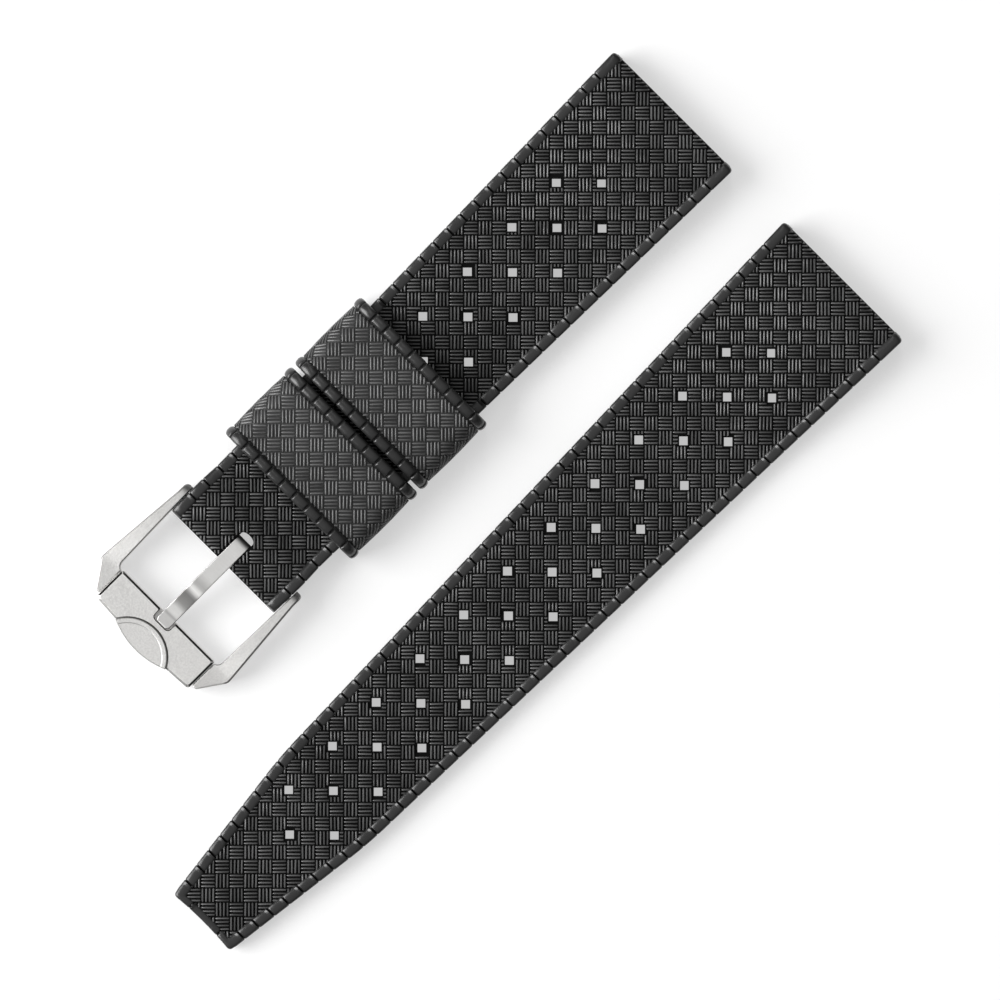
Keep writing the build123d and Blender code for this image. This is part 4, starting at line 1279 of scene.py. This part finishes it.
ARM_INSIDE = 7.84  # from the middle to the arm's side against the plate
PLATE_START = 11.35
PLATE_END = 15.8
PLATE_BULGE = 0.3
PLATE_HALF = 7.72
PLATE_TOP = 2.95
PLATE_CORNERS = (0.2, 0.35)  # radii at the back and at the front
PLATE_FOOT = 0.12
REST_FLOOR = 2.17
REST_HALF_WIDTH = 1.3
REST_END = 12.75
REST_CORNERS = (0.12, 0.55)  # radii at the mouth and at the end
REST_EDGE = 0.3  # how much narrower the polished edge is in the tang's rest
REST_BORDER = 0.25  # round the rest, where its edge has painted shade
CHAMFER = 0.22  # across, of the plate's polished edge, and its drop
CHAMFER_DROP = 0.17
CHAMFER_LIP = 0.02  # left of the drop where the edge turns into the top
BRIDGE = ((11.8, -8.1), (15.0, -8.1), (15.0, 8.1), (11.8, 8.1))  # inside the plate, from arm to arm
BRIDGE_LOW, BRIDGE_HIGH = 0.5, 2.35
BOSS_BACK = (18.28, 4.73)  # centre and radius of its back edge
BOSS_FRONT = (6.6, 10.4)  # and of its front edge
BOSS_EDGE = 0.12
BOSS_LEAN = 0.02  # how much more the front edge draws in
BOSS_STEPS = (  # inset and height over the plate, up the side and over the rim to the plain field
    (BOSS_EDGE, -PLATE_TOP), (0.0, BOSS_EDGE - PLATE_TOP), (0.0, 0.1), (0.02, 0.14), (0.06, 0.18),
    (BOSS_EDGE, 0.19), (0.15, 0.19), (0.5, 0.185), (0.53, 0.183), (0.57, 0.172), (0.61, 0.155),
    (0.65, 0.15), (0.69, 0.15),
)
GROOVE_WIDTH = 0.17
GROOVE_DEPTH = 0.4
GROOVE_START = 0.05  # under the top, from where the groove has painted shade
GROOVE_CLEARANCE = 1.0  # of its cutter over the top
RIM_START = 0.12  # over the plate
RIM_SLOPES = (0.05, 0.995)  # range of the upward part of the rim's directions
SLANTS = (0.4, 0.9)  # and of a slanting edge's
FRONT_FACING = 0.35  # least forward part of a front face's
# Painted shade, each as a part of the way to near-black steel: on the ears' round ends, the arms' bevels,
# the plate's front and slanting edges, the groove and the rest, the arms as a whole and the boss's rim
EAR_SHADE = 0.9
EAR_SHADE_START = -0.3
BEVEL_SHADE_END = 12.4
BEVEL_TILT = (0.15, 0.02)  # least part of a bevel's direction that is sideways, and up
EDGE_SHADE = 0.65
FRONT_SHADE = 0.5
GROOVE_SHADE = 0.85
ARM_SHADE = 0.12
RIM_SHADE = 0.3
SLACK = 0.01
SUPPORT = 0.03  # from a rounded corner to the next point, which keeps a flat face flat
CORNER_STEPS = 3
STEEL_CLOUD = 220.0
# near black, towards which painted shade darkens the steel
STEEL_PAINTED_SHADE = (0.012, 0.011, 0.01, 1.0)
STEEL_ROUGHNESS_PARTS = (0.2, 0.1)  # of the grain and of the cloud
STEEL_POLISH = 0.75  # of its roughness that polishing takes off
STEEL_SMOOTH = 35


def steel(name, colour, roughness, grain_size, bump, contrast, stretch=(1.0, 1.0, 1.0)):
    """Stainless steel with a grain that is even, or drawn out along one direction.

    The mesh may carry two tones of its own: painted shade darkens the steel, and bright polishes it."""
    finish = bpy.data.materials.new(name)
    bench = emptied(finish)
    spot = bench.node("ShaderNodeTexCoord").outputs["Object"]
    drawn = bench.node("ShaderNodeMapping", sockets={"Vector": spot, "Scale": stretch})
    grain = noise(bench, drawn.outputs[0], 1 / grain_size, 3.0, 0.65)
    cloud = noise(bench, spot, STEEL_CLOUD, 2.0, 0.5)
    painted_shade, bright = painted(bench, "painted_shade"), painted(bench, "bright")
    dark = tuple(part * (1 - contrast) for part in colour)
    grained = blend(bench, grain, dark + (1.0,), colour + (1.0,))
    by_grain, by_cloud = STEEL_ROUGHNESS_PARTS
    uneven = (grain - 0.5) * by_grain + (cloud - 0.5) * by_cloud + roughness
    bench.surface(
        {
            "Base Color": blend(bench, painted_shade, grained, STEEL_PAINTED_SHADE),
            "Metallic": 1.0,
            "Roughness": uneven * (1 - bright * STEEL_POLISH),
            "Normal": relief(bench, bump, grain * (1 - bright)),
        }
    )
    return finish


def rounded_plan(corners):
    """Points round a plan whose corners are (x, y, radius)."""
    points = []
    for k, (x, y, radius) in enumerate(corners):
        spot = Vector((x, y))
        if not radius:
            points.append((x, y))
            continue
        back = (Vector(corners[k - 1][:2]) - spot).normalized()
        ahead = (Vector(corners[(k + 1) % len(corners)][:2]) - spot).normalized()
        half = back.angle(ahead) / 2
        reach = radius / math.tan(half)
        centre = spot + (back + ahead).normalized() * (radius / math.sin(half))
        first, last = spot + back * reach, spot + ahead * reach
        start, turn = first - centre, math.pi - 2 * half
        if start.cross(last - centre) < 0:
            turn = -turn
        points.append(tuple(first + back * SUPPORT))
        for angle in [turn * step / CORNER_STEPS for step in range(CORNER_STEPS + 1)]:
            x = start.x * math.cos(angle) - start.y * math.sin(angle) + centre.x
            y = start.x * math.sin(angle) + start.y * math.cos(angle) + centre.y
            points.append((x, y))
        points.append(tuple(last + ahead * SUPPORT))
    return points


def lesser(first, second, rounding):
    """The lesser of two numbers, with the turn from one to the other rounded."""
    return (first + second) / 2 - math.hypot((first - second) / 2, rounding)


def arm_section(place, inset=0.0):
    """A section across one arm: flat sides, a wide bevel outside and a narrow one inside."""
    if place < 0:
        tall = math.sqrt(EAR_RADIUS**2 - place * place)
        low, high = BAR_HEIGHT - tall, BAR_HEIGHT + tall
    else:
        arch = lesser(place, ARM_ARCH_END, ARM_ARCH_ROUNDING)
        lines = (ARM_LOW, ARM_TOP)
        low, high = [level + arch * (slope + arch * bend) for level, slope, bend in lines]
    near = EAR_INNER + (WINDOW_HALF_WIDTH - EAR_INNER) * max(place, 0.0) / WINDOW_END
    into_corner = place - WINDOW_END + WINDOW_CORNER
    if into_corner > 0:
        left = max(WINDOW_CORNER**2 - into_corner**2, 0.0)
        near = max(WINDOW_HALF_WIDTH - WINDOW_CORNER + math.sqrt(left), ARM_INSIDE)
    past = (place - SHOULDER[0]) / (ARM_END[0] - SHOULDER[0])
    rising = EAR_OUTER + (SHOULDER[1] - EAR_OUTER) * max(place, 0.0) / SHOULDER[0]
    falling = SHOULDER[1] + (ARM_END[1] - SHOULDER[1]) * past
    far = lesser(rising, falling, SHOULDER_ROUNDING) - end_drop(place + EAR_RADIUS, EAR_ROUNDING)
    near, far, low, high = near + inset, far - inset, low + inset, high - inset
    most = min(high - low, far - near) / 4
    wide, narrow = [min(bevel, most) for bevel in ARM_BEVELS]
    corners = [(far, high, wide), (near, high, narrow), (near, low, narrow), (far, low, narrow)]
    return [(place, y, z) for y, z in rounded_plan(corners)]


def frame_arm(sign):
    """One arm, from the round end of its ear to its front end beside the plate."""
    places = [-EAR_RADIUS * math.cos(a) for a in angles(6, 90, 12)]
    places += [ARM_STEP * k for k in range(ARM_SECTIONS)]
    places += [WINDOW_END - WINDOW_CORNER * (1 - math.sin(a)) for a in angles(15, 91, 15)]
    rings = [arm_section(place) for place in (*places, *ARM_FRONT)]
    for a in angles(0, 91, 30):
        inset, drop = [ARM_END_ROUNDING * (1 - part) for part in (math.cos(a), math.sin(a))]
        rings.append(arm_section(ARM_END[0] - drop, inset))
    return skinned([[(x, sign * y, z) for x, y, z in ring] for ring in rings])


def plate_outline(inset, notched):
    """Plan of the plate, with the rest for the tang open towards the window."""
    back, front, half = PLATE_START + inset, PLATE_END - inset, PLATE_HALF - inset
    back_radius, front_radius = PLATE_CORNERS
    corners = [(back, -half, back_radius), (front, -half, front_radius)]
    for part in [k / 10 for k in range(-9, 10)]:
        corners.append((front + PLATE_BULGE * (1 - part * part), half * part, 0.0))
    corners += [(front, half, front_radius), (back, half, back_radius)]
    if notched:
        rest, end = REST_HALF_WIDTH + inset * REST_EDGE, REST_END + inset * REST_EDGE
        mouth, round_end = REST_CORNERS
        corners += [(back, rest, mouth), (end, rest, round_end), (end, -rest, round_end)]
        corners.append((back, -rest, mouth))
    return rounded_plan(corners)


def plate():
    """The raised plate, in a lower and an upper layer, the upper one cut by the boss's groove."""
    foot = [(PLATE_FOOT, 0.0), (0.0, PLATE_FOOT), (0.0, REST_FLOOR)]
    lower = [(plate_outline(inset, False), height) for inset, height in foot]
    edge = [(0.0, PLATE_TOP - REST_FLOOR), (0.0, CHAMFER_DROP), (CHAMFER, CHAMFER_LIP)]
    edge += [(CHAMFER + SUPPORT, 0.0), (CHAMFER + 2 * SUPPORT, 0.0)]
    upper = [(plate_outline(inset, True), PLATE_TOP - drop) for inset, drop in edge]
    ditch = boss_outline(-GROOVE_WIDTH, 0.0)
    groove = stacked([(ditch, PLATE_TOP - GROOVE_DEPTH), (ditch, PLATE_TOP + GROOVE_CLEARANCE)])
    bridge = stacked([(BRIDGE, BRIDGE_LOW), (BRIDGE, BRIDGE_HIGH)])
    return joined([stacked(lower), cut_away(stacked(upper), groove), bridge])


def arc(centre, radius, turns):
    """Points of a plan on an arc round a place on the centre line."""
    return [(centre + radius * math.cos(a), radius * math.sin(a)) for a in turns]


def boss_outline(inset, front_inset):
    """Plan of the boss: a disc whose front is cut along a flatter curve."""
    back, back_radius = BOSS_BACK[0], BOSS_BACK[1] - inset
    front, front_radius = BOSS_FRONT[0], BOSS_FRONT[1] - front_inset
    gap = back - front
    meeting = (front_radius**2 - back_radius**2 + gap**2) / (2 * gap)
    half = math.sqrt(front_radius**2 - meeting**2)
    sweep, start = math.atan2(half, meeting), math.atan2(half, meeting - gap)
    turn = 2 * (math.pi - start)
    outline = arc(front, front_radius, [sweep * k / 12 for k in range(-12, 12)])
    return outline + arc(back, back_radius, [start + turn * k / 30 for k in range(30)])


def boss():
    """The boss, with a low rim round its plain field."""
    layers = []
    for inset, height in BOSS_STEPS:
        outline = boss_outline(inset, min(inset, BOSS_EDGE) + inset * BOSS_LEAN)
        layers.append((outline, PLATE_TOP + height))
    return stacked(layers)


def toned(mesh, name, tone_of):
    """Gives every corner of a mesh's faces a tone, from its place and the face's direction."""
    layer = mesh.attributes.new(name, "FLOAT", "CORNER")
    corners = [(mesh.vertices[k].co, face.normal) for face in mesh.polygons for k in face.vertices]
    layer.data.foreach_set("value", [float(tone_of(spot, normal)) for spot, normal in corners])


def slants(normal):
    return SLANTS[0] < normal.z < SLANTS[1]


def on_plate_edge(spot, normal):
    """Whether a corner lies on the plate's slanting edge, but for the front."""
    on_plate = spot.x > PLATE_START - SLACK and abs(spot.y) < PLATE_HALF + SLACK
    at_top = spot.z > PLATE_TOP - CHAMFER_DROP - SLACK
    return on_plate and at_top and slants(normal) and normal.x < FRONT_FACING


def frame_painted_shade(spot, normal):
    """How much painted shade the frame has: at the ears' round ends, on the arms and their bevels, on the
    boss's rim, in the grooves and on the plate's edges.
    """
    if abs(spot.y) > ARM_INSIDE - SLACK:
        ear = clipped((EAR_SHADE_START - spot.x) / (EAR_SHADE_START + EAR_RADIUS))
        sideways, up = BEVEL_TILT
        on_bevel = spot.x < BEVEL_SHADE_END and abs(normal.y) > sideways and normal.z > up
        return max(EAR_SHADE * ear, EDGE_SHADE * on_bevel, ARM_SHADE)
    if spot.z > PLATE_TOP + RIM_START and RIM_SLOPES[0] < normal.z < RIM_SLOPES[1]:
        return RIM_SHADE
    out = math.hypot(spot.x - BOSS_BACK[0], spot.y) - BOSS_BACK[1]
    sunk = PLATE_TOP - GROOVE_DEPTH - SLACK < spot.z < PLATE_TOP - GROOVE_START
    if sunk and -SLACK < out < GROOVE_WIDTH + SLACK:
        return GROOVE_SHADE
    in_rest = abs(spot.y) < REST_HALF_WIDTH + REST_BORDER and spot.x < REST_END + REST_BORDER
    if in_rest and slants(normal):
        return GROOVE_SHADE
    if on_plate_edge(spot, normal):
        return EDGE_SHADE
    if slants(normal) and normal.x > FRONT_FACING and spot.z < PLATE_TOP + SLACK:
        return FRONT_SHADE
    return 0.0


blasted_steel = steel(
    "blasted_steel", (0.93, 0.92, 0.902), roughness=0.46, grain_size=0.00024, bump=1.0, contrast=0.3
)
ear_bore = cross_rod(0.0, BAR_HEIGHT, EAR_HOLE)
arms = [cut_away(frame_arm(sign), ear_bore) for sign in (-1, 1)]
buckle = joined([*arms, plate(), boss()])
toned(buckle, "bright", on_plate_edge)
toned(buckle, "painted_shade", frame_painted_shade)
settled(
    "frame", buckle, BAR_PLACE, SHORT_LINE, blasted_steel,
    "frame", "buckle_frame", STEEL_SMOOTH,
)


# Tang. A strip of the same steel, rolled flat and curled round the bar at one end. It is bent down
# to its rest in the plate and brushed across. Bands of painted shade along it stand in for its
# reflections, and painted shade runs along its edges.
TANG_OFFSET = 0.1
TANG_HALF_WIDTH = 0.975
TANG_THICKNESS = 0.7
TANG_CURL = 1.15  # radius of the strip's middle round the bar
TANG_WRAP = 300
TANG_SQUARENESS = 0.6  # of the curl where it turns down
TANG_BENDS = ((5.9, 7.1), (9.7, 10.9))  # places where the two bends start and end
TANG_LEVEL = 0.3  # of the strip's middle over the bar's axis, in its rest
TANG_END = 12.68
TANG_TIP_ROUNDING = 0.55
TANG_TIP_THINNING = (0.1, 0.8)  # how far before the tip it starts, and its slope
TANG_EDGE = 0.09
TANG_STEP = 0.3
TANG_SIDE_FACING = 0.3  # least sideways part of the direction of a face on the strip's edge
TANG_EDGE_SHADE = 0.6
TANG_PAINTED_SHADES = (
    (-1.6, 0.6), (-0.8, 0.1), (-0.4, 0.0), (4.8, 0.0), (6.2, 0.4), (6.8, 0.0), (7.0, 0.05),
    (7.7, 0.8), (9.2, 0.7), (10.2, 0.15), (10.6, 0.0), (10.9, 0.05), (11.15, 0.45), (11.4, 0.12),
    (12.7, 0.15),
)  # places along the strip, each with how much painted shade it has there


def tang_path():
    """Middle of the strip seen from the side, each point with its direction."""
    spots = []
    for a in angles(90 + TANG_WRAP, 90, -12):
        across, up = math.cos(a), math.sin(a)
        if up > 0 and across < 0:
            across, up = -(abs(across) ** TANG_SQUARENESS), up**TANG_SQUARENESS
        spots.append((TANG_CURL * across, TANG_CURL * up))
    (bend, slope_start), (slope_end, rest) = TANG_BENDS
    fall = (TANG_CURL - TANG_LEVEL) / ((rest + slope_end) / 2 - (bend + slope_start) / 2)
    tip = TANG_END - TANG_TIP_ROUNDING
    places = [TANG_STEP * k for k in range(int(tip / TANG_STEP))]
    places += [tip + TANG_TIP_ROUNDING * math.sin(a) for a in angles(0, 91, 15)]
    height, last_place, last_slope = TANG_CURL, 0.0, 0.0
    for place in places:
        down = clipped((place - bend) / (slope_start - bend))
        up = clipped((place - slope_end) / (rest - slope_end))
        slope = -fall * (down - up)
        height += (slope + last_slope) / 2 * (place - last_place)
        last_place, last_slope = place, slope
        spots.append((place, height))
    path = []
    for k, (x, z) in enumerate(spots):
        before, after = Vector(spots[max(k - 1, 0)]), Vector(spots[min(k + 1, len(spots) - 1)])
        run = (after - before).normalized()
        path.append((x, z, run.x, run.y))
    return path


def tang_section(x, z, run_x, run_z):
    """A section across the strip, with its edges rounded and its tip drawn in."""
    thin_reach, thin_slope = TANG_TIP_THINNING
    half = TANG_HALF_WIDTH - end_drop(TANG_END - x, TANG_TIP_ROUNDING)
    thick = TANG_THICKNESS / 2 - max(x - TANG_END + thin_reach, 0.0) * thin_slope
    signs = ((1, 1), (-1, 1), (-1, -1), (1, -1))
    corners = [(side * half, up * thick, TANG_EDGE) for side, up in signs]
    return [(x - run_z * up, y, z + run_x * up) for y, up in rounded_plan(corners)]


def tang_painted_shade(spot, normal):
    """How much painted shade the strip has: along its edges, and elsewhere between the listed places."""
    if abs(normal.y) > TANG_SIDE_FACING:
        return TANG_EDGE_SHADE
    for (start, low), (end, high) in zip(TANG_PAINTED_SHADES, TANG_PAINTED_SHADES[1:]):
        if start <= spot.x < end:
            return low + (high - low) * (spot.x - start) / (end - start)
    return 0.0


brushed_steel = steel(
    "brushed_steel", (0.95, 0.942, 0.925), roughness=0.4, grain_size=0.00004, bump=0.12,
    contrast=0.2, stretch=(1.0, 0.04, 0.3),
)
tang = skinned([tang_section(*point) for point in tang_path()])
toned(tang, "painted_shade", tang_painted_shade)
tang.transform(Matrix.Translation((0, 0, BAR_HEIGHT)))
settled(
    "tang", tang, BAR_PLACE, SHORT_LINE + TANG_OFFSET, brushed_steel,
    "tang", "buckle_tang", STEEL_SMOOTH,
)


# Spring bar. A bright drawn tube of stainless steel with a shouldered tip at each end, and a coil
# spring between the tips that presses them into the ears. It joins frame, tang and rubber.
def coat(node, finish):
    """Gives a node of the model its finish."""
    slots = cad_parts[node].data.materials
    slots.clear()
    slots.append(finish)


bright_steel = steel(
    "bright_steel", (0.78, 0.77, 0.76), roughness=0.16, grain_size=0.00004, bump=0.15,
    contrast=0.26, stretch=(1.0, 12.0, 1.0),
)
for node in ("spring_bar_tube", "spring_bar_spring", "spring_bar_tip_left", "spring_bar_tip_right"):
    coat(node, bright_steel)


size = {"cad": [list(corner) for corner in cad_box], "scene": [list(corner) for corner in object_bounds()]}
